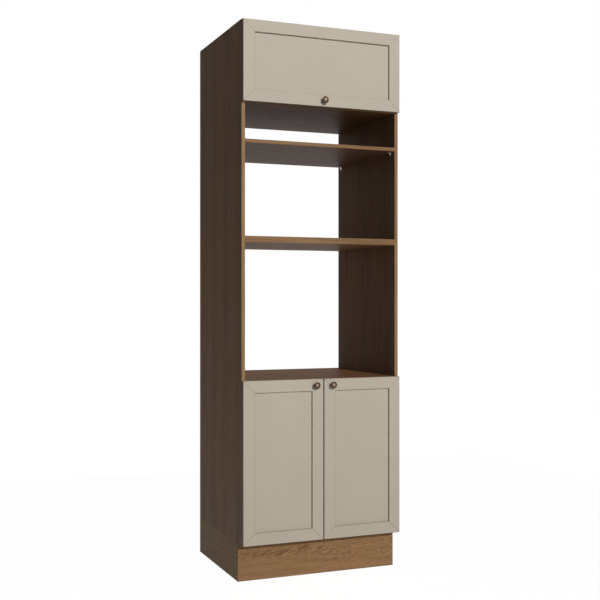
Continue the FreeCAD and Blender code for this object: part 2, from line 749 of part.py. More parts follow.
# Wall brackets: steel angles under the top board, with a hole through the back for the wall screw
bracket_master = new_body("bracket_master")
bracket_half = d.bracket_half_width
pad(bracket_master, "YZ_Plane", -bracket_half, bracket_half * 2,
    lambda sketch: draw_outline(sketch, [
        (zero, zero),
        (-d.bracket_reach, zero),
        (-d.bracket_reach, -d.bracket_metal),
        (-d.bracket_metal, -d.bracket_metal),
        (-d.bracket_metal, -d.bracket_drop),
        (zero, -d.bracket_drop),
    ]))
cut(bracket_master, "XZ_Plane", -d.bracket_metal - d.overrun, d.bracket_metal + d.overrun * 2,
    lambda sketch: draw_circles(sketch, [(zero, -d.bracket_hole_drop)], d.bracket_hole_radius), 1)
cut(bracket_master, "XY_Plane", -d.bracket_metal - d.overrun, d.bracket_metal + d.overrun * 2,
    lambda sketch: draw_circles(sketch, [(zero, -d.bracket_screw_reach)],
                                d.bracket_screw_radius + d.bracket_screw_play), 1)
bracket_screw_master = new_body("bracket_screw_master")
pad(bracket_screw_master, "XY_Plane", -d.bracket_metal, d.bracket_screw_length,
    lambda sketch: draw_circles(sketch, [(zero, zero)], d.bracket_screw_radius))
pad(bracket_screw_master, "XY_Plane", -d.bracket_metal, d.bracket_screw_head_height,
    lambda sketch: draw_circles(sketch, [(zero, zero)], d.bracket_screw_head_radius), -1)
bracket_xs = (-d.bracket_half_spacing, d.bracket_half_spacing)
group("wall_brackets", [(bracket_master, (x, board_back_y, top_under), upright) for x in bracket_xs])
bracket_screw_y = board_back_y - d.bracket_screw_reach
group("wall_bracket_screws",
      [(bracket_screw_master, (x, bracket_screw_y, top_under), upright) for x in bracket_xs])

# Bumpers: clear pads on the front edges, just short of the closed doors and flap
bumper_master = new_body("bumper_master")
pad(bumper_master, "XZ_Plane", zero, d.door_gap - d.bumper_play,
    lambda sketch: draw_circles(sketch, [(zero, zero)], d.bumper_radius), -1)
bumper_spots = []
for sense in (-1, 1):
    bumper_spots += [(d.bumper_middle_inset * sense, oven_shelf_top - d.bumper_shelf_drop)]
    bumper_spots += [(d.bumper_middle_inset * sense, d.plinth_height + d.bumper_floor_rise)]
    bumper_spots += [((inner_half - d.bumper_side_inset) * sense, flap_floor_under + d.bumper_floor_rise)]
group("door_bumpers", [(bumper_master, (x, front_y, z), upright) for x, z in bumper_spots])

# Hinge plates: a strip with two wings, and a boss that fills the arm's channel
cup_x = d.cup_centre_in
arm_pivot = (d.arm_pivot_in, d.arm_pivot_back)
cup_pivot = (-d.cup_pivot_out, -d.cup_pivot_ahead)
arm_top = d.arm_pivot_in + d.arm_eye_radius
arm_under_web = arm_top - d.arm_metal
plate_master = new_body("plate_master")
wing_start = d.plate_row - d.plate_wing_width / 2
wing_end = d.plate_row + d.plate_wing_width / 2
pad(plate_master, "YZ_Plane", zero, d.plate_metal,
    lambda sketch: draw_outline(sketch, [
        (d.plate_strip_start, -d.plate_strip_half),
        (wing_start, -d.plate_strip_half),
        (wing_start, -d.plate_wing_half),
        (wing_end, -d.plate_wing_half),
        (wing_end, -d.plate_strip_half),
        (d.plate_strip_end, -d.plate_strip_half),
        (d.plate_strip_end, d.plate_strip_half),
        (wing_end, d.plate_strip_half),
        (wing_end, d.plate_wing_half),
        (wing_start, d.plate_wing_half),
        (wing_start, d.plate_strip_half),
        (d.plate_strip_start, d.plate_strip_half),
    ]))
round_edges(plate_master, d.plate_wing_width / 4,
            lambda middle, edge: same(abs(middle.z), d.plate_wing_half) and same(edge.Length, d.plate_metal))
pad(plate_master, "YZ_Plane", d.plate_metal, arm_under_web - d.plate_metal,
    lambda sketch: draw_box(sketch, d.plate_boss_start, d.plate_boss_end,
                            -d.plate_boss_half, d.plate_boss_half))
wing_spots = [(d.plate_row, -d.plate_pitch / 2), (d.plate_row, d.plate_pitch / 2)]
cut(plate_master, "YZ_Plane", -d.overrun, d.plate_metal + d.overrun * 2,
    lambda sketch: draw_circles(sketch, wing_spots, d.plate_screw_radius + d.dowel_play))
cut(plate_master, "YZ_Plane", d.plate_metal, d.plate_screw_sink,
    lambda sketch: draw_circles(sketch, wing_spots, d.plate_screw_head_radius + d.dowel_play), -1)
cut(plate_master, "YZ_Plane", arm_under_web, d.arm_screw_length,
    lambda sketch: draw_circles(sketch, [(d.plate_row, zero)], d.arm_screw_radius + d.dowel_play), -1)
plate_screw_master = new_body("plate_screw_master")
screw_neck = d.plate_metal - d.plate_screw_sink
turn(plate_screw_master, [
    (d.plate_metal - d.plate_screw_length, zero),
    (d.plate_metal, zero),
    (d.plate_metal, d.plate_screw_head_radius),
    (screw_neck, d.plate_screw_head_radius),
    (screw_neck, d.plate_screw_radius),
    (d.plate_metal - d.plate_screw_length, d.plate_screw_radius),
], "H_Axis")
plate_screws = []
for (x, y, z), rotation in all_hinge_places:
    for sense in (-1, 1):
        step = d.plate_pitch * sense / 2
        spot = (x + step, y + d.plate_row, z) if rotation is top_turn else (x, y + d.plate_row, z + step)
        plate_screws.append((plate_screw_master, spot, rotation))
group("hinge_plates", [(plate_master, place, rotation) for place, rotation in all_hinge_places])
group("hinge_plate_screws", plate_screws)

# Hinge arms: pressed channels that straddle the plate's boss and end in two eyes
arm_master = new_body("arm_master")
arm_half = d.arm_channel_width / 2 + d.arm_metal
pad(arm_master, "XY_Plane", -arm_half, arm_half * 2,
    lambda sketch: draw_outline(sketch, [
        (d.arm_pivot_in - d.arm_eye_radius, d.arm_pivot_back, d.arm_eye_radius, 1),
        (d.arm_pivot_in, d.arm_pivot_back - d.arm_eye_radius, d.arm_eye_radius, 1),
        (arm_top, d.arm_pivot_back),
        (arm_top, d.arm_length),
        (d.plate_metal, d.arm_length),
        (d.plate_metal, d.arm_heel_start),
    ]))
cut(arm_master, "XY_Plane", -d.arm_channel_width / 2, d.arm_channel_width,
    lambda sketch: draw_outline(sketch, [
        (-d.overrun, -d.arm_eye_radius - d.overrun),
        (arm_top + d.overrun, -d.arm_eye_radius - d.overrun),
        (arm_top + d.overrun, d.arm_pivot_back + d.arm_web_start),
        (arm_under_web, d.arm_pivot_back + d.arm_web_start),
        (arm_under_web, d.arm_length + d.overrun),
        (-d.overrun, d.arm_length + d.overrun),
    ]))
cut(arm_master, "XY_Plane", -arm_half - d.overrun, (arm_half + d.overrun) * 2,
    lambda sketch: draw_circles(sketch, [arm_pivot], d.hinge_pin_radius + d.pin_play))
cut(arm_master, "YZ_Plane", arm_top + d.overrun, d.arm_metal + d.overrun * 2,
    lambda sketch: draw_circles(sketch, [(d.plate_row, zero)], d.arm_screw_radius + d.dowel_play), -1)
arm_screw_master = new_body("arm_screw_master")
arm_screw_tip = arm_top - d.arm_screw_length
turn(arm_screw_master, [
    (arm_screw_tip, zero),
    (arm_top + d.arm_screw_head_height, zero),
    (arm_top + d.arm_screw_head_height, d.arm_screw_head_radius),
    (arm_top, d.arm_screw_head_radius),
    (arm_top, d.arm_screw_radius),
    (arm_screw_tip, d.arm_screw_radius),
], "H_Axis")
pin_master = new_body("arm_pin_master")
pad(pin_master, "XY_Plane", -arm_half, arm_half * 2,
    lambda sketch: draw_circles(sketch, [arm_pivot], d.hinge_pin_radius))
row_places = [((x, y + d.plate_row, z), rotation) for (x, y, z), rotation in all_hinge_places]
group("hinge_arms", [(arm_master, place, rotation) for place, rotation in all_hinge_places])
group("hinge_arm_screws", [(arm_screw_master, place, rotation) for place, rotation in row_places])
group("hinge_arm_pins", [(pin_master, place, rotation) for place, rotation in all_hinge_places])

# Hinge links: a goose neck of bent plate with an eye at each end, from the arm into the cup
neck_outer = (d.neck_outer_in, -d.neck_outer_ahead)
neck_inner = (d.neck_inner_in, -d.neck_inner_ahead)
link_master = new_body("link_master")
link_half = d.link_width / 2


def bar_corners(start, finish):
    """Corners of a straight bar of the link's metal between two points."""
    run_x = finish[0] - start[0]
    run_y = finish[1] - start[1]
    length = (run_x * run_x + run_y * run_y).root()
    aside_x = run_y * d.link_half_metal / length
    aside_y = run_x * d.link_half_metal / length
    return [
        (start[0] + aside_x, start[1] - aside_y),
        (finish[0] + aside_x, finish[1] - aside_y),
        (finish[0] - aside_x, finish[1] + aside_y),
        (start[0] - aside_x, start[1] + aside_y),
    ]


pad(link_master, "XY_Plane", -link_half, d.link_width,
    lambda sketch: draw_circles(sketch, [cup_pivot], d.link_eye_radius))
pad(link_master, "XY_Plane", -link_half, d.link_width,
    lambda sketch: draw_outline(sketch, bar_corners(cup_pivot, neck_outer)))
pad(link_master, "XY_Plane", -link_half, d.link_width,
    lambda sketch: draw_circles(sketch, [neck_outer, neck_inner], d.link_half_metal))
pad(link_master, "XY_Plane", -link_half, d.link_width,
    lambda sketch: draw_outline(sketch, bar_corners(neck_outer, neck_inner)))
pad(link_master, "XY_Plane", -link_half, d.link_width,
    lambda sketch: draw_outline(sketch, bar_corners(neck_inner, arm_pivot)))
pad(link_master, "XY_Plane", -link_half, d.link_width,
    lambda sketch: draw_circles(sketch, [arm_pivot], d.link_eye_radius))
cut(link_master, "XY_Plane", -link_half - d.overrun, d.link_width + d.overrun * 2,
    lambda sketch: draw_circles(sketch, [cup_pivot, arm_pivot], d.hinge_pin_radius + d.pin_play))

# Hinge cups: pressed into the door, with a flange, two plugs, and ears that hold the cup pin
cup_master = new_body("cup_master")
flange_top = d.cup_flange_metal - d.door_gap
cavity_radius = d.cup_radius - d.cup_wall
cavity_floor = d.cup_wall - d.door_gap - d.cup_depth
pad(cup_master, "XZ_Plane", -d.door_gap, d.cup_depth,
    lambda sketch: draw_circles(sketch, [(cup_x, zero)], d.cup_radius), -1)
pad(cup_master, "XZ_Plane", -d.door_gap, d.cup_flange_metal,
    lambda sketch: draw_box(sketch, cup_x - d.cup_flange_out, cup_x + d.cup_flange_in,
                            -d.cup_flange_half, d.cup_flange_half), 1)
pad(cup_master, "XZ_Plane", -d.door_gap, d.cup_flange_metal,
    lambda sketch: draw_circles(sketch, [(cup_x, zero)], d.cup_rim_radius), 1)
pad(cup_master, "XZ_Plane", -d.door_gap, d.cup_plug_depth,
    lambda sketch: draw_circles(sketch, [(cup_x + d.cup_plug_in, -d.cup_plug_half),
                                         (cup_x + d.cup_plug_in, d.cup_plug_half)], d.cup_plug_radius), -1)
cut(cup_master, "XZ_Plane", flange_top, flange_top - cavity_floor,
    lambda sketch: draw_circles(sketch, [(cup_x, zero)], cavity_radius), -1)
cut(cup_master, "XZ_Plane", flange_top, d.cup_flange_metal,
    lambda sketch: draw_box(sketch, cup_x - d.cup_rim_radius - d.overrun, cup_x - d.cup_notch_out,
                            -d.cup_notch_half, d.cup_notch_half), -1)
ear_rise = d.cup_ear_rise - d.cup_pivot_ahead - cavity_floor


def draw_ears(sketch):
    ear_left = -d.cup_pivot_out - d.cup_ear_half
    ear_right = -d.cup_pivot_out + d.cup_ear_half
    draw_box(sketch, ear_left, ear_right, d.cup_ear_inner, d.cup_ear_outer)
    draw_box(sketch, ear_left, ear_right, -d.cup_ear_outer, -d.cup_ear_inner)


pad(cup_master, "XZ_Plane", cavity_floor, ear_rise, draw_ears, 1)
cut(cup_master, "XY_Plane", -d.cup_ear_outer, d.cup_ear_outer * 2,
    lambda sketch: draw_circles(sketch, [cup_pivot], d.hinge_pin_radius + d.pin_play))
round_edges(cup_master, d.cup_flange_corner_radius,
            lambda middle, edge: (
                same(abs(middle.z), d.cup_flange_half) and same(edge.Length, d.cup_flange_metal)))
cup_pin_master = new_body("cup_pin_master")
pad(cup_pin_master, "XY_Plane", -d.cup_ear_outer, d.cup_ear_outer * 2,
    lambda sketch: draw_circles(sketch, [cup_pivot], d.hinge_pin_radius))

# Knobs: turned mushroom heads with a domed middle, screwed on from behind
knob_master = new_body("knob_master")
knob_bore = d.knob_screw_radius + d.knob_screw_play
turn(knob_master, [
    (knob_bore, zero),
    (knob_bore, -d.knob_bore_depth),
    (zero, -d.knob_bore_depth),
    (zero, -d.knob_reach, d.knob_dome_curve, 1),
    (d.knob_bead_radius, -d.knob_dome_base),
    (d.knob_step_radius, -d.knob_step_height),
    (d.knob_bevel_radius, -d.knob_bevel_height),
    (d.knob_rim_radius, -d.knob_rim_height),
    (d.knob_back_radius, -d.knob_back_height, d.knob_flare_curve, -1),
    (d.knob_neck_radius, -d.knob_neck_height, d.knob_neck_curve, -1),
    (d.knob_foot_radius, -d.knob_foot_height),
    (d.knob_foot_radius, zero),
], "V_Axis")
knob_screw_master = new_body("knob_screw_master")
screw_reach = d.door_board + d.knob_screw_grip
turn(knob_screw_master, [
    (zero, d.knob_screw_head_height),
    (zero, -screw_reach),
    (d.knob_screw_radius, -screw_reach),
    (d.knob_screw_radius, zero),
    (d.knob_screw_head_radius, zero),
    (d.knob_screw_head_radius, d.knob_screw_head_height),
], "V_Axis")


def framed_front(name, left, right, low, high, hinged, knob_piece, knob_place):
    """A door or flap: four mitred frame pieces round an inset panel, its hinge cups and its knob."""
    inner_left = left + d.frame_width
    inner_right = right - d.frame_width
    inner_low = low + d.frame_width
    inner_high = high - d.frame_width
    groove_left = inner_left - d.panel_groove
    groove_right = inner_right + d.panel_groove
    groove_low = inner_low - d.panel_groove
    groove_high = inner_high + d.panel_groove
    panel_front_y = door_front_y + d.panel_recess
    frame_pieces = {
        "left_stile": ([(left, low), (inner_left, inner_low), (inner_left, inner_high), (left, high)],
                       (groove_left, inner_left + d.overrun, low, high), "x", left, inner_left),
        "right_stile": ([(right, low), (right, high), (inner_right, inner_high), (inner_right, inner_low)],
                        (inner_right - d.overrun, groove_right, low, high), "x", right, inner_right),
        "bottom_rail": ([(left, low), (right, low), (inner_right, inner_low), (inner_left, inner_low)],
                        (left, right, groove_low, inner_low + d.overrun), "z", low, inner_low),
        "top_rail": ([(left, high), (inner_left, inner_high), (inner_right, inner_high), (right, high)],
                     (left, right, inner_high - d.overrun, groove_high), "z", high, inner_high),
    }
    hinge_x = {"left": -inner_half + cup_x, "right": inner_half - cup_x}
    plug_x = {"left": -inner_half + cup_x + d.cup_plug_in, "right": inner_half - cup_x - d.cup_plug_in}
    cup_spots = []
    plug_spots = []
    if hinged == "top":
        for row in flap_hinge_rows:
            cup_spots += [(row, top_under - cup_x)]
            for way in (-1, 1):
                plug_spots += [(row + d.cup_plug_half * way, top_under - cup_x - d.cup_plug_in)]
    else:
        for row in door_hinge_rows:
            cup_spots += [(hinge_x[hinged], row)]
            plug_spots += [(plug_x[hinged], row + d.cup_plug_half * way) for way in (-1, 1)]
    hinged_piece = {"left": "left_stile", "right": "right_stile", "top": "top_rail"}[hinged]
    for piece, (corners, groove, axis, outer_edge, inner_edge) in frame_pieces.items():
        body = new_body(f"{name}_{piece}")
        pad(body, "XZ_Plane", door_back_y, d.door_board, lambda sketch: draw_outline(sketch, corners), -1)
        cut(body, "XZ_Plane", panel_front_y, d.panel_board, lambda sketch: draw_box(sketch, *groove), 1)
        if piece == hinged_piece:
            cut(body, "XZ_Plane", door_back_y, d.cup_depth,
                lambda sketch: draw_circles(sketch, cup_spots, d.cup_radius + d.cup_play), -1)
            cut(body, "XZ_Plane", door_back_y, d.cup_plug_depth,
                lambda sketch: draw_circles(sketch, plug_spots, d.cup_plug_radius + d.cup_play), -1)
        if piece == knob_piece:
            cut(body, "XZ_Plane", door_back_y, d.door_board,
                lambda sketch: draw_circles(sketch, [knob_place], knob_bore), -1)
        for place, radius in ((outer_edge, d.frame_outer_round), (inner_edge, d.frame_inner_round)):
            round_edges(body, radius, lambda middle, edge: (
                same(middle.y, door_front_y) and same(getattr(middle, axis), place)))
        pieces.append(body)
    board(f"{name}_panel", groove_left + d.panel_play, groove_right - d.panel_play,
          panel_front_y, panel_front_y + d.panel_board,
          groove_low + d.panel_play, groove_high - d.panel_play)
    places = hinge_places(hinged, front_y)
    group(f"{name}_hinge_cups", [(master, place, rotation) for place, rotation in places
                                 for master in (cup_master, cup_pin_master)])
    group(f"{name}_hinge_links", [(link_master, place, rotation) for place, rotation in places])
    knob_x, knob_z = knob_place
    group(f"{name}_knob", [(knob_master, (knob_x, door_front_y, knob_z), upright)])
    group(f"{name}_knob_screw", [(knob_screw_master, (knob_x, door_back_y, knob_z), upright)])


knob_x = door_inner + d.knob_side_inset
framed_front("left_door", -door_outer, -door_inner, door_low, door_high, "left",
             "top_rail", (-knob_x, door_high - d.knob_end_inset))
framed_front("right_door", door_inner, door_outer, door_low, door_high, "right",
             "top_rail", (knob_x, door_high - d.knob_end_inset))
framed_front("flap", -door_outer, door_outer, flap_low, flap_high, "top",
             "bottom_rail", (zero, flap_low + d.knob_end_inset))

# Strut brackets on the sides: a plate with a shouldered stud, and a head that keeps the eye on
side_bracket_master = new_body("strut_side_bracket_master")
eye_start = d.strut_side_in - d.strut_eye_width / 2
eye_end = d.strut_side_in + d.strut_eye_width / 2
pad(side_bracket_master, "YZ_Plane", zero, d.strut_plate_metal,
    lambda sketch: draw_box(sketch, -d.strut_plate_half_height, d.strut_plate_half_height,
                            -d.strut_plate_half_width, d.strut_plate_half_width))
round_edges(side_bracket_master, d.strut_plate_half_width / 2,
            lambda middle, edge: same(edge.Length, d.strut_plate_metal))
pad(side_bracket_master, "YZ_Plane", zero, eye_start - d.strut_side_play,
    lambda sketch: draw_circles(sketch, [(zero, zero)], d.strut_shoulder_radius))
pad(side_bracket_master, "YZ_Plane", zero, eye_end + d.strut_side_play,
    lambda sketch: draw_circles(sketch, [(zero, zero)], d.strut_stud_radius))
pad(side_bracket_master, "YZ_Plane", eye_end + d.strut_side_play, d.strut_head_width,
    lambda sketch: draw_circles(sketch, [(zero, zero)], d.strut_head_radius))
group("strut_side_brackets", [
    (side_bracket_master, (-inner_half, strut_seat_y, strut_seat_z), upright),
    (side_bracket_master, (inner_half, strut_seat_y, strut_seat_z), half_turn),
])

# Strut brackets on the flap: a foot with a lug and a stud that points at the rod's eye
flap_bracket_master = new_body("strut_flap_bracket_master")
lug_near = d.strut_eye_width / 2 + d.strut_lug_gap
lug_far = lug_near + d.strut_lug_metal
stud_rise = strut_flap_y - door_back_y
pad(flap_bracket_master, "XZ_Plane", -stud_rise, d.strut_foot_metal,
    lambda sketch: draw_box(sketch, lug_far - d.strut_foot_width, lug_far,
                            -d.strut_foot_half_height, d.strut_foot_half_height), 1)
pad(flap_bracket_master, "YZ_Plane", lug_near, d.strut_lug_metal,
    lambda sketch: draw_outline(sketch, [
        (-stud_rise, -d.strut_lug_half_width),
        (zero, -d.strut_lug_half_width, d.strut_lug_half_width, 1),
        (d.strut_lug_half_width, zero, d.strut_lug_half_width, 1),
        (zero, d.strut_lug_half_width),
        (-stud_rise, d.strut_lug_half_width),
    ]))
pad(flap_bracket_master, "YZ_Plane", d.strut_eye_width / 2 + d.strut_open_play,
    d.strut_lug_gap - d.strut_open_play,
    lambda sketch: draw_circles(sketch, [(zero, zero)], d.strut_stud_radius))
group("strut_flap_brackets", [
    (flap_bracket_master, (-strut_x, strut_flap_y, strut_flap_z), upright),
    (flap_bracket_master, (strut_x, strut_flap_y, strut_flap_z), right_turn),
])

# Strut cylinders: a tube with an eye on the side bracket's stud, bored for the rod
cylinder_master = new_body("strut_cylinder_master")
tube_end = d.strut_tube_start + d.strut_tube_length
pad(cylinder_master, "YZ_Plane", -d.strut_eye_width / 2, d.strut_eye_width,
    lambda sketch: draw_circles(sketch, [(zero, zero)], d.strut_eye_radius))
pad(cylinder_master, "XY_Plane", d.strut_eye_radius / 2 + d.strut_stud_radius / 2,
    d.strut_tube_start - d.strut_eye_radius / 2 - d.strut_stud_radius / 2,
    lambda sketch: draw_circles(sketch, [(zero, zero)], d.strut_rod_radius))
pad(cylinder_master, "XY_Plane", d.strut_tube_start, d.strut_tube_length,
    lambda sketch: draw_circles(sketch, [(zero, zero)], d.strut_tube_radius))
cut(cylinder_master, "YZ_Plane", -d.strut_eye_width, d.strut_eye_width * 2,
    lambda sketch: draw_circles(sketch, [(zero, zero)], d.strut_stud_radius + d.pin_play))
cut(cylinder_master, "XY_Plane", tube_end, d.strut_tube_length - d.strut_tube_floor,
    lambda sketch: draw_circles(sketch, [(zero, zero)], d.strut_rod_radius + d.strut_rod_play), -1)
strut_seats = [(x, strut_seat_y, strut_seat_z) for x in (-strut_x, strut_x)]
group("strut_cylinders", [(cylinder_master, place, strut_turn) for place in strut_seats])

# Strut rods: they slide out of the cylinders, with a ferrule and an eye beside the flap's stud
rod_master = new_body("strut_rod_master")
rod_start = d.strut_tube_start + d.strut_tube_floor + d.strut_rod_bottom
eye_grip = (d.strut_eye_radius + d.strut_stud_radius) / 2
pad(rod_master, "YZ_Plane", -d.strut_eye_width / 2, d.strut_eye_width,
    lambda sketch: draw_circles(sketch, [(zero, strut_length)], d.strut_eye_radius))
pad(rod_master, "XY_Plane", rod_start, strut_length - eye_grip - rod_start,
    lambda sketch: draw_circles(sketch, [(zero, zero)], d.strut_rod_radius))
ferrule_end = strut_length - d.strut_eye_radius + d.strut_ferrule_overlap
pad(rod_master, "XY_Plane", ferrule_end - d.strut_ferrule_length, d.strut_ferrule_length,
    lambda sketch: draw_circles(sketch, [(zero, zero)], d.strut_ferrule_radius))
cut(rod_master, "YZ_Plane", -d.strut_eye_width, d.strut_eye_width * 2,
    lambda sketch: draw_circles(sketch, [(zero, strut_length)], d.strut_stud_radius + d.pin_play))
group("strut_rods", [(rod_master, place, strut_turn) for place in strut_seats])

# Every object has to be sound before anything is written
doc.recompute()
for item in doc.Objects:
    if "Invalid" in item.State or "Error" in item.State:
        raise RuntimeError(f"{item.Label} did not recompute: {item.State}")
for piece in pieces:
    if piece.Shape.isNull() or not piece.Shape.isValid():
        raise RuntimeError(f"{piece.Label} has no valid shape")

os.makedirs("parts", exist_ok=True)
for piece in pieces:
    piece.Shape.exportStep(os.path.join("parts", f"{piece.Label}.step"))
print(len(pieces), "sub-parts written")
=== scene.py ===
import json
import math

import bmesh
import bpy
from mathutils import Matrix, Vector


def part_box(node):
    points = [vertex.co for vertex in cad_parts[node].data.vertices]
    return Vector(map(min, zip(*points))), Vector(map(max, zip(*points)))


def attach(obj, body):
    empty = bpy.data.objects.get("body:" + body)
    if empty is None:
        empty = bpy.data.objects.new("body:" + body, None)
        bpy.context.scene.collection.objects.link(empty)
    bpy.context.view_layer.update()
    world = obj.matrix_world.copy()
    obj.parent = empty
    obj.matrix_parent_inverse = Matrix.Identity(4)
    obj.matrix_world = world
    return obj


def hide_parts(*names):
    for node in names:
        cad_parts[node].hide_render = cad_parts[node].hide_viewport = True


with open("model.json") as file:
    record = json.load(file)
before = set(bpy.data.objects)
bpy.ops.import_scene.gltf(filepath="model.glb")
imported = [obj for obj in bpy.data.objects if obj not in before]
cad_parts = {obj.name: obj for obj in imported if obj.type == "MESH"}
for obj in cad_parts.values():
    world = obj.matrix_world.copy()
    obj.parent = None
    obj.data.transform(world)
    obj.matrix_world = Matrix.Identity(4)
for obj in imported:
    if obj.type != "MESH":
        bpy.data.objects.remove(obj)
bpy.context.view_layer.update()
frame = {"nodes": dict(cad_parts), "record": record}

# Side panels
# Full-height boards of walnut-look melamine on chipboard, with a thin edging tape on the front.
# The figure is printed upright; every long edge is just broken, as the edging machine leaves it.
node_body = {node: body for body, nodes in frame["record"]["behaviour"]["bodies"].items() for node in nodes}
mm = 0.001
edge_ease = 0.4 * mm
ease_steps = 2
long_edge = 60 * mm
square_angle = 1.2
merge_distance = 0.01 * mm
flat_angle = math.radians(0.5)
small_area = 3e-4
sharp_angle = math.radians(40)
front_facing = 0.9
walnut_pale = (152, 116, 83)
walnut_deep = (122, 92, 65)
walnut_pore = (84, 62, 42)
upright_pale = (162, 130, 97)
upright_deep = (120, 92, 66)
# Side boards: darker copies of the walnut tones, as painted shade on faces that the key lamp misses
shaded_left_pale = (139, 105, 75)
shaded_left_deep = (99, 73, 52)
shaded_right_pale = (130, 100, 74)
shaded_right_deep = (100, 76, 55)
walnut_sheen = 0.014
right_sheen = 0.02
wood_roughness = 0.5
wood_bump = 0.12
bump_depth = 0.1 * mm
# Painted light that changes with height: greyer towards the floor as a painted reflection of the floor,
# deeper towards the top as painted shade
floor_reflection_grey = (188, 188, 188)
floor_reflection_top = 1.25
floor_reflection_foot = 0.1
floor_reflection_share = 0.118
top_shade_foot = 1.3
top_shade_top = 1.75
top_shade_share = 0.24
# Changes of the figure to a metre: along the grain, across it and into the board
wander_rate = (2.2, 7, 7)
ripple_rate = (14, 60, 60)
cloud_rate = (1.7, 9, 9)
streak_rate = (3, 60, 60)
fibre_rate = (9, 420, 420)
pore_rate = (42, 900, 900)
# Spans: where a value starts and ends to tell, then how much it tells there if not 0 and 1
late_span = (0.05, 0.45)
cloudy_late_span = (0.3, 0.62, 0.35, 1.0)
pore_span = (0.57, 0.66)
late_pore_span = (0.25, 0.9)
fibre_span = (0.38, 0.66, 0.0, 0.42)
cloud_span = (0.35, 0.7, 0.0, 0.22)
deep_streak_span = (0.5, 0.66, 0.0, 0.5)
pale_streak_span = (0.5, 0.34, 0.0, 0.5)
middle_span = (0.3, 0.7)
wood_roughness_span = (*middle_span, 0.44, 0.54)
noise_middle = 0.5
ripple_share = 0.12
ring_peak_share = 0.62
ring_power = 1.6
pore_share = 0.55
fibre_height_share = 0.3
fibre_roughness = 0.62


def tone(red, green, blue):
    """A screen colour as linear light, with full alpha."""
    linear = [((c / 255 + 0.055) / 1.055) ** 2.4 if c > 10 else c / 255 / 12.92 for c in (red, green, blue)]
    return (*linear, 1.0)


def put(tree, kind, inputs=None, **settings):
    """A new node with its settings, and with each input given as a value or as a link from a socket."""
    node = tree.nodes.new(kind)
    for name, value in settings.items():
        setattr(node, name, value)
    for name, value in (inputs or {}).items():
        if isinstance(value, bpy.types.NodeSocket):
            tree.links.new(value, node.inputs[name])
        else:
            node.inputs[name].default_value = value
    return node


def calculate(tree, operation, *values):
    """The output of a Math node over values or sockets."""
    return put(tree, "ShaderNodeMath", dict(enumerate(values)), operation=operation).outputs[0]


def add(tree, first, second):
    return calculate(tree, "ADD", first, second)


def multiply(tree, first, second):
    return calculate(tree, "MULTIPLY", first, second)


def blend_tones(tree, share, first, second):
    """The output of a colour mix: first where share is 0 and second where it is 1."""
    return put(tree, "ShaderNodeMix", {0: share, 6: first, 7: second}, data_type="RGBA").outputs[2]


def spread(tree, value, low, high, to_low=0.0, to_high=1.0):
    """The output of a Map Range node, held between its limits."""
    inputs = {"Value": value, "From Min": low, "From Max": high, "To Min": to_low, "To Max": to_high}
    return put(tree, "ShaderNodeMapRange", inputs, clamp=True).outputs[0]


def noise(tree, vector, rate, detail=3.0, roughness=0.5):
    """The value of a noise that changes at its own rate along each of the three axes of vector."""
    scaled = put(tree, "ShaderNodeVectorMath", {0: vector, 1: rate}, operation="MULTIPLY").outputs[0]
    inputs = {"Vector": scaled, "Scale": 1.0, "Detail": detail, "Roughness": roughness}
    return put(tree, "ShaderNodeTexNoise", inputs).outputs["Fac"]


def object_place(tree):
    """Object coordinates: on every piece they are the cabinet's own metres."""
    return put(tree, "ShaderNodeTexCoord").outputs["Object"]


def node_group(name, inputs, outputs):
    """An empty shader group with named sockets, and its two ends."""
    tree = bpy.data.node_groups.new(name, "ShaderNodeTree")
    for way, sockets in (("INPUT", inputs), ("OUTPUT", outputs)):
        for socket, kind in sockets.items():
            tree.interface.new_socket(socket, in_out=way, socket_type=f"NodeSocket{kind}")
    return tree, tree.nodes.new("NodeGroupInput").outputs, tree.nodes.new("NodeGroupOutput").inputs


finish_outputs = {"Color": "Color", "Roughness": "Float", "Height": "Float"}


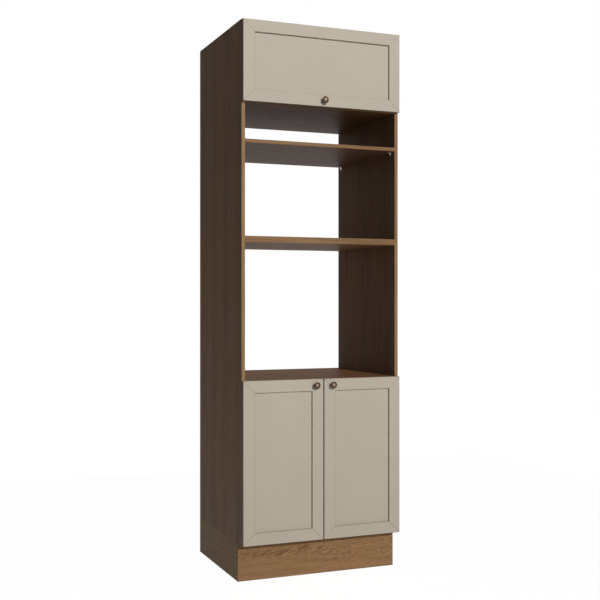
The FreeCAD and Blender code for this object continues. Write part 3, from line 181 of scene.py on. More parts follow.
def make_wood_figure():
    """Growth rings cut by a plank, with fibres and pores. X is along the grain, Y across it on the face."""
    tree, given, result = node_group(
        "wood_figure",
        {"Vector": "Vector", "Pale": "Color", "Deep": "Color", "Pore": "Color", "Heart": "Float",
         "Slope": "Float", "Ring Width": "Float", "Wander": "Float", "Contrast": "Float"}, finish_outputs)
    vector = given["Vector"]
    along, across, depth = put(tree, "ShaderNodeSeparateXYZ", {0: vector}).outputs
    wander = calculate(tree, "SUBTRACT", noise(tree, vector, wander_rate), noise_middle)
    ripple = calculate(tree, "SUBTRACT", noise(tree, vector, ripple_rate, detail=2.0), noise_middle)
    ripple = multiply(tree, ripple, multiply(tree, given["Wander"], ripple_share))
    shift = add(tree, multiply(tree, wander, given["Wander"]), ripple)
    side = add(tree, across, shift)
    rise = add(tree, multiply(tree, along, given["Slope"]), given["Heart"])
    rise = add(tree, rise, add(tree, depth, shift))
    square = add(tree, multiply(tree, side, side), multiply(tree, rise, rise))
    rings = calculate(tree, "DIVIDE", calculate(tree, "SQRT", square), given["Ring Width"])
    late = calculate(tree, "PINGPONG", calculate(tree, "FRACT", rings), ring_peak_share)
    late = spread(tree, calculate(tree, "POWER", late, ring_power), *late_span)
    cloud = noise(tree, vector, cloud_rate, detail=2.0)
    streak = noise(tree, vector, streak_rate)
    fibre = noise(tree, vector, fibre_rate, detail=4.0, roughness=fibre_roughness)
    pores = noise(tree, vector, pore_rate, detail=2.0)
    pore_mask = multiply(tree, spread(tree, pores, *pore_span), spread(tree, late, *late_pore_span))
    late_share = multiply(tree, late, given["Contrast"])
    late_share = multiply(tree, late_share, spread(tree, cloud, *cloudy_late_span))
    wood = blend_tones(tree, late_share, given["Pale"], given["Deep"])
    for colour, value, span in (("Deep", fibre, fibre_span), ("Pale", cloud, cloud_span),
                                ("Deep", streak, deep_streak_span), ("Pale", streak, pale_streak_span)):
        wood = blend_tones(tree, spread(tree, value, *span), wood, given[colour])
    wood = blend_tones(tree, multiply(tree, pore_mask, pore_share), wood, given["Pore"])
    tree.links.new(wood, result["Color"])
    tree.links.new(spread(tree, fibre, *wood_roughness_span), result["Roughness"])
    height = calculate(tree, "SUBTRACT", multiply(tree, fibre, fibre_height_share), pore_mask)
    tree.links.new(height, result["Height"])
    return tree


wood_figure = make_wood_figure()
# Turns that lay the grain along the cabinet's height, width or depth
grain_turns = {"up": (0, math.radians(90), 0), "across": (0, 0, 0), "back": (0, 0, math.radians(-90))}


def surface(name, base, roughness, **sockets):
    """A material whose Principled shader has plain values on its own sockets."""
    material = bpy.data.materials.new(name)
    material.use_nodes = True
    shader = material.node_tree.nodes["Principled BSDF"]
    shader.inputs["Base Color"].default_value = tone(*base)
    shader.inputs["Roughness"].default_value = roughness
    for socket, value in sockets.items():
        shader.inputs[socket.replace("_", " ")].default_value = value
    return material, material.node_tree, shader


def add_bump(tree, shader, height, strength, depth=bump_depth):
    bump = put(tree, "ShaderNodeBump", {"Height": height, "Strength": strength, "Distance": depth})
    tree.links.new(bump.outputs[0], shader.inputs["Normal"])


def figured_surface(name, base, roughness, group, values, bump_strength, lay=object_place, **sockets):
    """A material whose colour, roughness and bump come from a shader group, laid out by lay."""
    material, tree, shader = surface(name, base, roughness, **sockets)
    figure = put(tree, "ShaderNodeGroup", {"Vector": lay(tree), **values}, node_tree=group)
    tree.links.new(figure.outputs["Color"], shader.inputs["Base Color"])
    tree.links.new(figure.outputs["Roughness"], shader.inputs["Roughness"])
    add_bump(tree, shader, figure.outputs["Height"], bump_strength)
    return material, tree, figure


def wood_material(name, grain, pale=walnut_pale, deep=walnut_deep, pore=walnut_pore, shift=(0, 0, 0),
                  heart=0.03, slope=0.05, ring=0.009, wander=0.03, contrast=0.6, turned=0.0,
                  sheen=walnut_sheen):
    """Printed melamine with the figure running up, across or to the back of the cabinet."""
    turn = Vector(grain_turns[grain]) + Vector((turned, 0, 0))

    def lay(tree):
        inputs = {"Vector": object_place(tree), "Location": shift, "Rotation": turn}
        return put(tree, "ShaderNodeMapping", inputs).outputs[0]

    values = {"Pale": tone(*pale), "Deep": tone(*deep), "Pore": tone(*pore), "Heart": heart,
              "Slope": slope, "Ring Width": ring, "Wander": wander, "Contrast": contrast}
    return figured_surface(name, pale, wood_roughness, wood_figure, values, wood_bump, lay,
                           Specular_IOR_Level=sheen)[0]


def merged_copy(node):
    """The node's own shape as one welded mesh, its flat faces joined up again."""
    shape = bmesh.new()
    shape.from_mesh(frame["nodes"][node].data)
    bmesh.ops.remove_doubles(shape, verts=shape.verts, dist=merge_distance)
    bmesh.ops.dissolve_limit(shape, angle_limit=flat_angle, verts=shape.verts, edges=shape.edges)
    return shape


def is_small(face):
    return face.calc_area() < small_area


def dress(shape, node, ending, materials, choose=None, curved=is_small):
    """Turns the bmesh into a finished piece that rides on the node's body and stands for the node."""
    shape.normal_update()
    for face in shape.faces:
        face.smooth = curved(face)
        if choose:
            face.material_index = choose(face)
    for edge in shape.edges:
        if edge.is_manifold and edge.calc_face_angle() > sharp_angle:
            edge.smooth = False
    name = f"{node}_{ending}"
    mesh = bpy.data.meshes.new(name)
    shape.to_mesh(mesh)
    shape.free()
    # The solid's stored normals don't fit the new faces
    stored_normals = mesh.attributes.get("custom_normal")
    if stored_normals:
        mesh.attributes.remove(stored_normals)
    for material in materials:
        mesh.materials.append(material)
    piece = bpy.data.objects.new(name, mesh)
    bpy.context.scene.collection.objects.link(piece)
    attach(piece, node_body[node])
    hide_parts(node)


def repaint(material, paint):
    """Puts the colour that paint returns in place of the material's own."""
    tree = material.node_tree
    socket = tree.nodes["Principled BSDF"].inputs["Base Color"]
    tree.links.new(paint(tree, socket.links[0].from_socket), socket)


def paint_floor_reflection_and_top_shade(tree, colour):
    """The colour with painted light: greyer towards the floor as a painted reflection of the floor, and
    deeper towards the top as painted shade in the pore tone.
    """
    height = put(tree, "ShaderNodeSeparateXYZ", {0: object_place(tree)}).outputs["Z"]
    reflection_mask = spread(tree, height, floor_reflection_top, floor_reflection_foot, 0.0, floor_reflection_share)
    top_shade_mask = spread(tree, height, top_shade_foot, top_shade_top, 0.0, top_shade_share)
    colour = blend_tones(tree, reflection_mask, colour, tone(*floor_reflection_grey))
    return blend_tones(tree, top_shade_mask, colour, tone(*walnut_pore))


def is_front(face):
    return int(face.normal.y < -front_facing)


def is_long_square(edge):
    return edge.is_manifold and edge.calc_length() > long_edge and edge.calc_face_angle() > square_angle


def dress_board(node, face_material, tape_material):
    """A board with broken long edges and with edging tape on its front."""
    shape = merged_copy(node)
    bmesh.ops.bevel(shape, geom=[edge for edge in shape.edges if is_long_square(edge)], offset=edge_ease,
                    offset_type="OFFSET", segments=ease_steps, profile=0.5, affect="EDGES",
                    clamp_overlap=True, material=-1)
    dress(shape, node, "board", [face_material, tape_material], is_front)


upright_tape = wood_material("walnut_tape_upright", "up", upright_pale, upright_deep, shift=(0, 0.2, 0.9),
                             slope=0.004, ring=0.0055, wander=0.004, contrast=0.9)
left_walnut_painted_light = wood_material("walnut_left_side_painted_light", "up", shaded_left_pale, shaded_left_deep, shift=(0, 0.656, 0.3),
                            heart=0.04, slope=0.01, ring=0.107, wander=0.012, contrast=0.75)
right_walnut_painted_light = wood_material("walnut_right_side_painted_light", "up", shaded_right_pale, shaded_right_deep, shift=(0.5, 0.7, -0.3),
                             heart=-0.05, slope=0.01, ring=0.15, wander=0.012, sheen=right_sheen)
# Both side boards get painted light: a grey painted reflection of the floor low down and painted shade high
# up.
for node, walnut in (("left_side_panel", left_walnut_painted_light), ("right_side_panel", right_walnut_painted_light)):
    repaint(walnut, paint_floor_reflection_and_top_shade)
    dress_board(node, walnut, upright_tape)

# Fixed boards and loose shelves
# The same melamine board laid flat between the sides, with the figure and the front tape across.
# The microwave shelf is 25 mm thick, and the shelf above it lies loose on four supports.
tape_pale = (153, 121, 88)
tape_deep = (114, 86, 59)
# The niche shelf and the flap compartment floor get darker tones than the other boards: painted shade on
# their undersides.
flat_boards = {
    "cabinet_floor": (walnut_pale, walnut_deep, 0.012),
    "inner_shelf": (walnut_pale, walnut_deep, 0.012),
    "oven_shelf": ((149, 109, 75), (119, 86, 58), 0.005),
    "microwave_shelf": (walnut_pale, walnut_deep, 0.015),
    "niche_shelf": ((122, 88, 65), (98, 70, 50), 0.038),
    "flap_compartment_floor": ((127, 91, 61), (101, 70, 46), 0.042),
    "top_panel": (walnut_pale, walnut_deep, 0.012),
}
figure_step = 0.37
figure_drift = figure_step / 4
across_tape = wood_material("walnut_tape_across", "across", tape_pale, tape_deep, shift=(0.3, 0.1, 0.7),
                            slope=0.004, ring=0.0055, wander=0.004, contrast=0.9)
for index, (node, (pale, deep, sheen)) in enumerate(flat_boards.items()):
    shift = (index * figure_step, math.sin(index) * figure_drift, 0)
    flat_walnut = wood_material(f"walnut_{node}", "across", pale, deep, shift=shift, heart=0.05,
                                slope=0.06, ring=0.012, sheen=sheen)
    dress_board(node, flat_walnut, across_tape)

# Plinth
# Four boards of the same melamine under the cabinet, set back at the front. The front one has the
# liveliest figure: straight fine grain with short smudges, and slanted flecks along its upper left.
plinth_pale = (166, 130, 93)
plinth_deep = (136, 103, 73)
plinth_side_pale = (143, 113, 81)
plinth_side_deep = (115, 89, 63)
# Dark tone of the flecks, also the tone of the painted shade
fleck_and_painted_shade_dark = (104, 72, 47)
fleck_pale = (176, 140, 102)
fleck_rise = math.radians(20)
belt_foot_span = (0.07, 0.098)
belt_top_span = (0.124, 0.112)
belt_end_span = (0.2, -0.05)
sway_rate = 5
sway_span = (*middle_span, -0.012, 0.012)
stroke_rate = (28, 28, 250)
dark_stroke_span = (0.5, 0.6, 0.0, 0.8)
pale_stroke_span = (0.46, 0.38, 0.0, 0.45)
smudge_rate = (45, 45, 150)
smudge_span = (0.42, 0.62, 0.0, 0.45)
# Painted shade on the plinth front, under the doors: its smudges grow stronger towards the top, and it
# darkens towards the left.
smudge_painted_shade_rise_span = (0.02, 0.08, 0.4, 1.0)
painted_shade_across_span = (0.1, -0.2, 0.0, 0.22)
painted_shade_up_span = (-0.02, 0.06)
# Turn that lays the face of the figure to the front instead of up
face_turn = math.radians(-90)


def even_noise(tree, vector, rate, **settings):
    """The value of a noise that changes at the same rate along all three axes."""
    return noise(tree, vector, (rate, rate, rate), **settings)


def make_flecks_and_painted_shade():
    """Short dark and pale flecks that rise to the right inside a level belt and fade out at its end, over
    painted shade.
    """
    tree, given, result = node_group(
        "slanted_flecks_and_painted_shade", {"Vector": "Vector", "Wood": "Color", "Dark": "Color", "Pale": "Color"},
        {"Color": "Color"})
    vector = given["Vector"]
    place = put(tree, "ShaderNodeSeparateXYZ", {0: vector}).outputs
    sway = spread(tree, even_noise(tree, vector, sway_rate, detail=1.0), *sway_span)
    level = add(tree, place["Z"], sway)
    belt = multiply(tree, spread(tree, level, *belt_foot_span), spread(tree, level, *belt_top_span))
    belt = multiply(tree, belt, spread(tree, place["X"], *belt_end_span))
    inputs = {"Vector": vector, "Rotation": (0, fleck_rise, 0)}
    strokes = noise(tree, put(tree, "ShaderNodeMapping", inputs).outputs[0], stroke_rate, detail=1.0)
    smudge = multiply(tree, spread(tree, level, *smudge_painted_shade_rise_span),
                      spread(tree, noise(tree, vector, smudge_rate), *smudge_span))
    shade = multiply(tree, spread(tree, place["X"], *painted_shade_across_span),
                     spread(tree, place["Z"], *painted_shade_up_span))
    dark = multiply(tree, belt, spread(tree, strokes, *dark_stroke_span))
    pale = multiply(tree, belt, spread(tree, strokes, *pale_stroke_span))
    smudge_and_painted_shade = calculate(tree, "MAXIMUM", smudge, shade)
    wood = given["Wood"]
    for share, colour in ((smudge_and_painted_shade, "Dark"), (dark, "Dark"), (pale, "Pale")):
        wood = blend_tones(tree, share, wood, given[colour])
    tree.links.new(wood, result["Color"])
    return tree


flecks = make_flecks_and_painted_shade()


def fleck_and_painted_shade(tree, colour):
    """The colour with the plinth's flecks and painted shade over it."""
    inputs = {"Vector": object_place(tree), "Wood": colour, "Dark": tone(*fleck_and_painted_shade_dark),
              "Pale": tone(*fleck_pale)}
    return put(tree, "ShaderNodeGroup", inputs, node_tree=flecks).outputs["Color"]


plinth_walnut = wood_material("walnut_plinth_front", "across", plinth_pale, plinth_deep,
                              shift=(-0.18, 0.5, 0.02), heart=0.05, slope=0.01, ring=0.007,
                              wander=0.012, contrast=0.4, turned=face_turn)
repaint(plinth_walnut, fleck_and_painted_shade)
plinth_side_walnut_painted_light = wood_material("walnut_plinth_sides_painted_light", "back", plinth_side_pale, plinth_side_deep,
                                   shift=(0.2, 0.1, 0.05), heart=0.06, slope=0.08, ring=0.011)
# The plinth sides get the same grey painted reflection of the floor.
repaint(plinth_side_walnut_painted_light, paint_floor_reflection_and_top_shade)
for side, walnut in (("front", plinth_walnut), ("back", plinth_walnut), ("left", plinth_side_walnut_painted_light),
                     ("right", plinth_side_walnut_painted_light)):
    dress_board(f"plinth_{side}", walnut, walnut)

# Back panels
# Thin hardboard, printed with walnut inside and bare brown fibre outside, let into the rear rebates.
fibre_brown = (132, 104, 78)
fibre_dark = (104, 80, 58)
fibre_pale = (150, 121, 92)
fibre_gloss = 0.8
fibre_bump = 0.25
fibre_bump_depth = 0.3 * mm
speck_rate = 260
speck_span = (0.4, 0.68)
patch_rate = 6
patch_span = (0.35, 0.7, 0.0, 0.3)
hardboard, tree, shader = surface("bare_hardboard", fibre_brown, fibre_gloss)
place = object_place(tree)
specks = even_noise(tree, place, speck_rate, detail=5.0, roughness=0.7)
patches = even_noise(tree, place, patch_rate)
fibres = blend_tones(tree, spread(tree, specks, *speck_span), tone(*fibre_brown), tone(*fibre_dark))
fibres = blend_tones(tree, spread(tree, patches, *patch_span), fibres, tone(*fibre_pale))
tree.links.new(fibres, shader.inputs["Base Color"])
add_bump(tree, shader, specks, fibre_bump, fibre_bump_depth)
back_walnut = wood_material("walnut_back_print", "across", shift=(0.1, 0.3, 0.2), heart=0.06, ring=0.013,
                            turned=face_turn)
for node in ("upper_back_panel", "lower_back_panel"):
    dress(merged_copy(node), node, "sheet", [hardboard, back_walnut], is_front)

# Steel fittings
# Zinc-plated cams, bolts, brackets and screws, and nickel-plated hinges and shelf supports.
# The plating is fine-grained, with faint drawn lines and small changes of gloss.
line_rate = (1400, 1400, 300)
line_gloss_span = (0.35, 0.65, -0.02, 0.03)
blotch_rate = 55
blotch_span = (0.35, 0.65)
plating_bump = 0.015


def make_plating():
    """Gloss and colour changes of plated steel: drawn lines over soft blotches."""
    tree, given, result = node_group(
        "plating", {"Vector": "Vector", "Bright": "Color", "Dull": "Color", "Gloss": "Float"},
        finish_outputs)
    lines = noise(tree, given["Vector"], line_rate, detail=2.0)
    blotches = even_noise(tree, given["Vector"], blotch_rate, detail=2.0)
    plated = blend_tones(tree, spread(tree, blotches, *blotch_span), given["Bright"], given["Dull"])
    tree.links.new(plated, result["Color"])
    rough = add(tree, given["Gloss"], spread(tree, lines, *line_gloss_span))
    tree.links.new(rough, result["Roughness"])
    tree.links.new(lines, result["Height"])
    return tree


plating = make_plating()


def plated_material(name, bright, dull, gloss, metallic=1.0):
    """Plated steel that lies between its bright and its dull tone."""
    values = {"Bright": tone(*bright), "Dull": tone(*dull), "Gloss": gloss}
    return figured_surface(name, bright, gloss, plating, values, plating_bump, Metallic=metallic)[0]


zinc = plated_material("zinc_plate", bright=(196, 197, 198), dull=(180, 182, 184), gloss=0.38,
                       metallic=0.75)
nickel = plated_material("nickel_plate", bright=(208, 205, 200), dull=(192, 189, 184), gloss=0.3,
                         metallic=0.7)
for node in ("cam_locks", "cam_bolts", "wall_brackets", "hinge_arm_pins", "strut_side_brackets",
             "strut_flap_brackets"):
    dress(merged_copy(node), node, "plated", [zinc])
for node in ("hinge_plates", "hinge_arms", "niche_shelf_supports", "inner_shelf_supports",
             "left_door_hinge_links", "right_door_hinge_links", "flap_hinge_links",
             "left_door_hinge_cups", "right_door_hinge_cups", "flap_hinge_cups"):
    dress(merged_copy(node), node, "plated", [nickel])

# Screws
# Zinc-plated steel screws for the hinges, knobs and wall brackets: a pressed head with a cross
# recess over the plain shank that the solid has.
fronts = ("left_door", "right_door", "flap")
cross_cells = 7
cross_arms = ((3, 1), (3, 2), (3, 3), (3, 4), (3, 5), (1, 3), (2, 3), (4, 3), (5, 3))
cross_taper_share = 0.8
head_flat_share = 0.8
head_round_share = 0.45
head_radius_share = 0.97
head_sunk_share = 0.4
flap_hinge_foot = 2.0
# Height of the head over its shank, and depth of its cross
flat_head = (0.6 * mm, 1.0 * mm)
round_head = (0.8 * mm, 1.2 * mm)


def cross_head(shape, seat, axis, radius, height, sink):
    """A round head at seat, facing along axis, with a cross pressed into it by sink."""
    half = radius * head_flat_share
    made = bmesh.ops.create_grid(shape, x_segments=cross_cells, y_segments=cross_cells, size=half,
                                 matrix=Matrix.Translation((0, 0, height)))
    verts = made["verts"]
    rim = [vert for vert in verts if vert.is_boundary]
    for vert in rim:
        reach = math.hypot(vert.co.x, vert.co.y)
        vert.co.x *= radius / reach
        vert.co.y *= radius / reach
        vert.co.z -= height * head_round_share
    pitch = 2 * half / cross_cells
    crossed = []
    for face in dict.fromkeys(face for vert in verts for face in vert.link_faces):
        centre = face.calc_center_median()
        cell = tuple(round(value / pitch + (cross_cells - 1) / 2) for value in (centre.x, centre.y))
        if cell in cross_arms:
            crossed.append(face)
    pressed = bmesh.ops.extrude_face_region(shape, geom=crossed)
    bmesh.ops.delete(shape, geom=crossed, context="FACES")
    floor = [item for item in pressed["geom"] if isinstance(item, bmesh.types.BMVert)]
    bmesh.ops.translate(shape, verts=floor, vec=(0, 0, -sink))
    bmesh.ops.scale(shape, verts=floor, vec=(cross_taper_share, cross_taper_share, 1.0))
    edges = dict.fromkeys(edge for vert in rim for edge in vert.link_edges)
    skirt = bmesh.ops.extrude_edge_only(shape, edges=[edge for edge in edges if edge.is_boundary])
    lower = [item for item in skirt["geom"] if isinstance(item, bmesh.types.BMVert)]
    for vert in lower:
        vert.co.z = 0.0
    bmesh.ops.edgeloop_fill(shape, edges=[edge for edge in shape.edges if edge.is_boundary])
    turn = axis.to_track_quat("Z", "Y").to_matrix().to_4x4()
    every = [vert for vert in dict.fromkeys((*verts, *floor, *lower)) if vert.is_valid]
    bmesh.ops.transform(shape, matrix=Matrix.Translation(seat) @ turn, verts=every)


def solids_of(node):
    """The separate closed shapes of a node, each as the low and high corner of its box."""
    shape = merged_copy(node)
    seen = set()
    boxes = []
    for first in shape.verts:
        if first in seen:
            continue
        seen.add(first)
        heap = [first]
        found = []
        while heap:
            vert = heap.pop()
            found.append(vert.co.copy())
            for edge in vert.link_edges:
                other = edge.other_vert(vert)
                if other not in seen:
                    seen.add(other)
                    heap.append(other)
        boxes.append((Vector(map(min, zip(*found))), Vector(map(max, zip(*found)))))
    shape.free()
    return boxes


def dress_screws(node, way_of, head):
    """The node's own shanks, with a crossed head at the end of each that way_of its middle points to."""
    height, sink = head
    shape = merged_copy(node)
    for low, high in solids_of(node):
        middle = (low + high) / 2
        size = high - low
        axis = way_of(middle)
        reach = abs(size.dot(axis)) / 2
        radius = min(size[i] for i in range(3) if abs(axis[i]) < 0.5) / 2
        seat = middle + axis * (reach - height * head_sunk_share)
        crossed = bmesh.new()
        cross_head(crossed, seat, axis, radius * head_radius_share, height, sink)
        bmesh.ops.recalc_face_normals(crossed, faces=crossed.faces)
        loose = bpy.data.meshes.new("head")
        crossed.to_mesh(loose)
        crossed.free()
        shape.from_mesh(loose)
        bpy.data.meshes.remove(loose)
    dress(shape, node, "crossed", [zinc])


def into_cabinet(middle):
    """The way a hinge screw's head points: away from the side or top board that it is driven into."""
    if middle.z > flap_hinge_foot:
        return Vector((0, 0, -1))
    return Vector((1 if middle.x < 0 else -1, 0, 0))


def downwards(_middle):
    return Vector((0, 0, -1))


def backwards(_middle):
    return Vector((0, 1, 0))


dress_screws("hinge_plate_screws", into_cabinet, flat_head)
dress_screws("hinge_arm_screws", into_cabinet, round_head)
dress_screws("wall_bracket_screws", downwards, round_head)
for front in fronts:
    dress_screws(f"{front}_knob_screw", backwards, round_head)

# Dowels and bumpers
# Beech dowels sit unseen in the joints; clear silicone pads keep the closed fronts off the edges.
beech_pale = (214, 176, 130)
beech_deep = (190, 150, 106)
beech_pore = (160, 122, 84)
silicone_tone = (226, 226, 222)
silicone_gloss = 0.25
silicone_gloss_span = (*middle_span, 0.2, 0.4)
silicone_rate = 500
beech = wood_material("beech_dowel", "across", beech_pale, beech_deep, beech_pore, heart=0.02, ring=0.004)
dress(merged_copy("wooden_dowels"), "wooden_dowels", "turned", [beech])
silicone, tree, shader = surface("clear_silicone", silicone_tone, silicone_gloss, Transmission_Weight=0.7,
                                 IOR=1.42)
cloud = even_noise(tree, object_place(tree), silicone_rate)
tree.links.new(spread(tree, cloud, *silicone_gloss_span), shader.inputs["Roughness"])
dress(merged_copy("door_bumpers"), "door_bumpers", "soft", [silicone])

# Flap struts
# Gas struts with a grey enamelled cylinder and a polished rod that slides out of it.
enamel_grey = (128, 130, 132)
enamel_pale = (134, 136, 138)
enamel_deep = (118, 120, 123)
enamel_gloss = 0.42
enamel_rate = 700
enamel_bump = 0.1
enamel, tree, shader = surface("strut_enamel", enamel_grey, enamel_gloss, Coat_Weight=0.2)
peel = even_noise(tree, object_place(tree), enamel_rate, detail=1.0)
enamelled = blend_tones(tree, spread(tree, peel, *middle_span), tone(*enamel_pale), tone(*enamel_deep))
tree.links.new(enamelled, shader.inputs["Base Color"])
add_bump(tree, shader, peel, enamel_bump)
rod_steel = plated_material("polished_rod", bright=(222, 222, 224), dull=(206, 207, 210), gloss=0.14)
dress(merged_copy("strut_cylinders"), "strut_cylinders", "enamelled", [enamel])
dress(merged_copy("strut_rods"), "strut_rods", "polished", [rod_steel])

# Flap and doors
# Framed fronts in greige satin lacquer: four mitred frame pieces round an inset panel. The mitres
# show as hair lines because each front edge there is just broken before the pieces are glued.
greige = (193, 183, 168)
greige_shade = (190, 180, 165)
# Darker greige for sides, roundings and mitres: painted shade on the edges and in the recesses, and a dark
# joint at the mitres
shaded_edge_greige = (165, 154, 140)
lacquer_sheen = 0.05
edge_sheen = 0.0
lacquer_gloss = 0.43
lacquer_gloss_span = (*middle_span, 0.4, 0.46)
lacquer_drift_rate = 5
lacquer_peel_rate = 420
lacquer_bump = 0.05
mitre_break = 0.65 * mm
mitre_length = 30 * mm
plane_play = merge_distance / 10
flat_facing = 0.98
upward_facing = 0.5
square_facing = 0.01
square_front_facing = 0.999


def make_lacquer():
    """Sprayed satin lacquer: a faint orange peel, and gloss and tone that drift a little."""
    tree, given, result = node_group(
        "sprayed_satin", {"Vector": "Vector", "Tone": "Color", "Shade": "Color"}, finish_outputs)
    drift = even_noise(tree, given["Vector"], lacquer_drift_rate, detail=1.0)
    peel = even_noise(tree, given["Vector"], lacquer_peel_rate, detail=1.0)
    sprayed = blend_tones(tree, spread(tree, drift, *middle_span), given["Tone"], given["Shade"])
    tree.links.new(sprayed, result["Color"])
    tree.links.new(spread(tree, drift, *lacquer_gloss_span), result["Roughness"])
    tree.links.new(peel, result["Height"])
    return tree


lacquer_finish = make_lacquer()


def lacquer_material(name, colour, shade, sheen):
    """Satin lacquer that lies between its colour and its shade."""
    values = {"Tone": tone(*colour), "Shade": tone(*shade)}
    return figured_surface(name, colour, lacquer_gloss, lacquer_finish, values, lacquer_bump,
                           Specular_IOR_Level=sheen)[0]


lacquer = lacquer_material("greige_satin_lacquer", greige, greige_shade, lacquer_sheen)
shaded_edge_lacquer = lacquer_material("greige_edge_painted_shade", shaded_edge_greige, shaded_edge_greige, edge_sheen)
front_face_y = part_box("flap_left_stile")[0].y


def is_front_mitre(edge):
    """The slanted edges at the ends of a frame piece's front face."""
    run = edge.verts[1].co - edge.verts[0].co
    in_front = all(vert.co.y < front_face_y + merge_distance for vert in edge.verts)
    return in_front and run.length > mitre_length and abs(abs(run.x) - abs(run.z)) < mm


def plane_mitres(shape):
    """Planes a narrow flat off both sides of each front mitre edge."""
    corners = []
    for edge in shape.edges:
        if edge.is_manifold and is_front_mitre(edge):
            facing = (edge.link_faces[0].normal + edge.link_faces[1].normal).normalized()
            corners.append((edge.verts[0].co.copy(), facing))
    for place, facing in corners:
        whole = shape.verts[:] + shape.edges[:] + shape.faces[:]
        sawn = bmesh.ops.bisect_plane(shape, geom=whole, dist=plane_play, clear_outer=True,
                                      plane_co=place - facing * mitre_break / math.sqrt(2), plane_no=facing)
        rim = [item for item in sawn["geom_cut"] if isinstance(item, bmesh.types.BMEdge)]
        bmesh.ops.edgeloop_fill(shape, edges=rim)
    bmesh.ops.recalc_face_normals(shape, faces=shape.faces)


def is_shaded_edge(face):
    """The sides, roundings and mitres that don't face up, painted a darker, dull greige: painted shade, and
    a dark joint at the mitres.
    """
    return int(abs(face.normal.y) < flat_facing and face.normal.z < upward_facing)


def is_rounding(face):
    """The narrow facets along a frame piece, but not its flat faces and not its mitres."""
    straight = min(abs(face.normal.x), abs(face.normal.z)) < square_facing
    return straight and square_facing < abs(face.normal.y) < square_front_facing


for front in fronts:
    for part in ("left_stile", "right_stile", "top_rail", "bottom_rail"):
        node = f"{front}_{part}"
        shape = merged_copy(node)
        shape.normal_update()
        plane_mitres(shape)
        dress(shape, node, "lacquered", [lacquer, shaded_edge_lacquer], is_shaded_edge, is_rounding)
    node = f"{front}_panel"
    dress(merged_copy(node), node, "lacquered", [lacquer])

# Knobs
# Mushroom knobs turned from zinc and plated in aged bronze: foot, waist, flared back, rounded rim,
# a dished ring and a domed boss. The bronze is dark in the ring and rubbed bright on the dome.
knob_turns = 72
# Rise from the front and radius in millimetres, and how far the bronze is rubbed bright there
knob_stem = 0.1, (
    (0.0, 8.0), (1.2, 8.0), (1.7, 7.6), (2.2, 6.7), (3.2, 6.1), (5.0, 5.5), (7.0, 5.2), (9.4, 5.3),
    (11.6, 5.9), (13.4, 7.2), (14.8, 9.2), (15.7, 11.2), (16.4, 12.6))
knob_rim = 0.3, (
    (17.2, 13.5), (18.0, 13.9), (18.7, 13.95), (19.3, 13.6), (19.8, 12.9), (20.3, 12.0), (20.55, 11.2))
knob_ring = 0.05, ((20.6, 10.5), (20.3, 10.1), (19.9, 9.8), (19.9, 9.5), (20.2, 9.25), (20.8, 9.1))
knob_dome = 0.9, (
    (21.6, 8.7), (22.6, 7.8), (23.5, 6.5), (24.2, 4.9), (24.7, 3.1), (24.93, 1.5), (25.0, 0.0))
bronze_bright = (129, 111, 92)
bronze_dark = (62, 45, 32)
bronze_gloss = 0.35
bronze_bump = 0.15
worn_cloud_rate = 160
worn_cloud_span = (*middle_span, -0.18, 0.18)
worn_speck_rate = 900
worn_speck_span = (0.4, 0.7, 0.06, -0.2)
worn_gloss_span = (0.0, 1.0, 0.6, 0.46)


def make_patina():
    """Aged bronze: rubbed bright on the proud parts and dark in the hollows, with small specks."""
    tree, given, result = node_group(
        "bronze_patina", {"Vector": "Vector", "Bright": "Color", "Dark": "Color", "Rubbed": "Float"},
        finish_outputs)
    specks = even_noise(tree, given["Vector"], worn_speck_rate, roughness=0.6)
    cloud = even_noise(tree, given["Vector"], worn_cloud_rate)
    worn = add(tree, given["Rubbed"], spread(tree, cloud, *worn_cloud_span))
    worn = add(tree, worn, spread(tree, specks, *worn_speck_span))
    worn = spread(tree, worn, 0.0, 1.0)
    tree.links.new(blend_tones(tree, worn, given["Dark"], given["Bright"]), result["Color"])
    tree.links.new(spread(tree, worn, *worn_gloss_span), result["Roughness"])
    tree.links.new(specks, result["Height"])
    return tree


bronze, tree, figure = figured_surface(
    "aged_bronze", bronze_bright, bronze_gloss, make_patina(),
    {"Bright": tone(*bronze_bright), "Dark": tone(*bronze_dark)}, bronze_bump, Metallic=1.0)
rubbed = put(tree, "ShaderNodeAttribute", attribute_name="rubbed").outputs["Fac"]
tree.links.new(rubbed, figure.inputs["Rubbed"])


def turn_knob(front):
    """The profile spun round the knob's axis, with how far it is rubbed bright kept on its points."""
    low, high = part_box(f"{front}_knob")
    seat = Vector(((low.x + high.x) / 2, high.y, (low.z + high.z) / 2))
    shape = bmesh.new()
    rubbed_layer = shape.verts.layers.float.new("rubbed")
    line = []
    for rubbed_share, points in (knob_stem, knob_rim, knob_ring, knob_dome):
        for rise, radius in points:
            vert = shape.verts.new((seat.x + radius * mm, seat.y - rise * mm, seat.z))
            vert[rubbed_layer] = rubbed_share
            line.append(vert)
    edges = [shape.edges.new(pair) for pair in zip(line, line[1:])]
    bmesh.ops.spin(shape, geom=line + edges, cent=seat, axis=(0, 1, 0), angle=math.tau, steps=knob_turns,
                   use_merge=True)
    bmesh.ops.remove_doubles(shape, verts=shape.verts, dist=merge_distance)
    bmesh.ops.edgeloop_fill(shape, edges=[edge for edge in shape.edges if edge.is_boundary])
    bmesh.ops.recalc_face_normals(shape, faces=shape.faces)
    dress(shape, f"{front}_knob", "turned", [bronze])


for front in fronts:
    turn_knob(front)

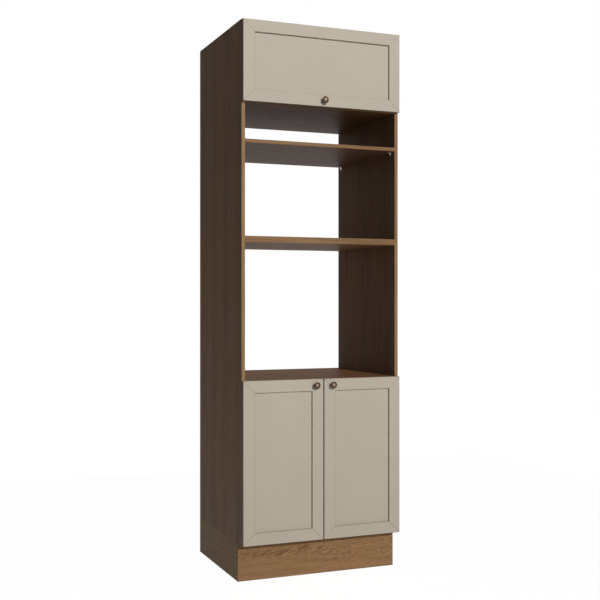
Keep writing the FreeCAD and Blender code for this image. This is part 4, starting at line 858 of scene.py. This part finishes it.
# Floor and backdrop
# A pale studio floor that catches the cabinet's shadow and throws light back up, under a white sky.
floor_half = 2.4
floor_bounce = 0.3
floor_glow = 0.3
floor_shadow_share = 0.06
floor_white = 0.975
white_light = (1, 1, 1, 1)
shape = bmesh.new()
bmesh.ops.create_grid(shape, x_segments=1, y_segments=1, size=floor_half)
mesh = bpy.data.meshes.new("studio_floor")
shape.to_mesh(mesh)
shape.free()
studio_floor = bpy.data.objects.new("studio_floor", mesh)
bpy.context.scene.collection.objects.link(studio_floor)
floor_material = bpy.data.materials.new("studio_floor")
floor_material.use_nodes = True
mesh.materials.append(floor_material)
tree = floor_material.node_tree
tree.nodes.clear()


def seen_white(tree):
    """1 for rays that see the studio straight, in a mirror or through something clear."""
    path = put(tree, "ShaderNodeLightPath").outputs
    seen = calculate(tree, "MAXIMUM", path["Is Camera Ray"], path["Is Glossy Ray"])
    return calculate(tree, "MAXIMUM", seen, path["Is Transmission Ray"])


def matt_glow(tree, grey, strength):
    """A matt grey that also gives off white light."""
    matt = put(tree, "ShaderNodeBsdfDiffuse", {"Color": (grey, grey, grey, 1)}).outputs[0]
    glow = put(tree, "ShaderNodeEmission", {"Color": white_light, "Strength": strength}).outputs[0]
    return put(tree, "ShaderNodeAddShader", {0: matt, 1: glow}).outputs[0]


bounce = matt_glow(tree, floor_bounce, floor_glow)
seen_floor = matt_glow(tree, floor_shadow_share, floor_white)
shown = put(tree, "ShaderNodeMixShader", {0: seen_white(tree), 1: bounce, 2: seen_floor}).outputs[0]
put(tree, "ShaderNodeOutputMaterial", {"Surface": shown})

# Light
# One key lamp, nearly in front and a little to the right, 20 degrees up, with crisp shadows. The middle
# of its beam passes above the cabinet, so that its light fades downwards. A wide soft light straight in
# front fills its shadows, a weaker one stands behind, and a dim even fill does the rest.
key_azimuth = math.radians(5)
key_elevation = math.radians(20)
key_distance = 22.0
key_power = 13500
key_size = 0.15
key_cone = math.radians(54)
key_aim = Vector((0, -0.27, 6.3))
key_place = Vector((0, -0.27, 1.2))
even_fill = 0.035
front_fill = 1.3
back_fill = 0.15
# Share of the way to the back that a ray of the sky points: -1 is straight in front and 1 straight behind
front_start, front_end = -0.8, -1.0
back_start, back_end = 0.2, 0.9
lamp = bpy.data.lights.new("key", "SPOT")
lamp.spot_size = key_cone
lamp.spot_blend = 1.0
lamp.shadow_soft_size = key_size
lamp.energy = key_power
key = bpy.data.objects.new("key", lamp)
level_reach = math.cos(key_elevation)
towards = Vector((math.sin(key_azimuth) * level_reach, -math.cos(key_azimuth) * level_reach,
                  math.sin(key_elevation)))
key.location = key_place + towards * key_distance
key.rotation_euler = (key.location - key_aim).to_track_quat("Z", "Y").to_euler()
bpy.context.scene.collection.objects.link(key)
world = bpy.data.worlds.new("studio")
bpy.context.scene.world = world
world.use_nodes = True
tree = world.node_tree
tree.nodes.clear()
ray = put(tree, "ShaderNodeTexCoord").outputs["Generated"]
back_share = put(tree, "ShaderNodeSeparateXYZ", {0: ray}).outputs["Y"]
strength = add(tree, spread(tree, back_share, front_start, front_end, even_fill, front_fill),
               spread(tree, back_share, back_start, back_end, 0.0, back_fill))
dim = put(tree, "ShaderNodeBackground", {"Color": white_light, "Strength": strength}).outputs[0]
white = put(tree, "ShaderNodeBackground", {"Color": white_light, "Strength": 1.0}).outputs[0]
sky = put(tree, "ShaderNodeMixShader", {0: seen_white(tree), 1: dim, 2: white}).outputs[0]
put(tree, "ShaderNodeOutputWorld", {"Surface": sky})

# Camera
# Level, left of the cabinet and well back, looking across its front.
camera_place = (-1.6596, -4.1115, 1.1371)
camera_pitch = math.radians(90)
camera_yaw = math.radians(-22.11)
focal_length = 60.966
view_shift = -0.00017
camera_data = bpy.data.cameras.new("camera")
camera_data.lens = focal_length
camera_data.shift_y = view_shift
camera = bpy.data.objects.new("camera", camera_data)
camera.location = camera_place
camera.rotation_euler = (camera_pitch, 0, camera_yaw)
bpy.context.scene.collection.objects.link(camera)
bpy.context.scene.camera = camera
bpy.context.scene.view_settings.view_transform = "Standard"
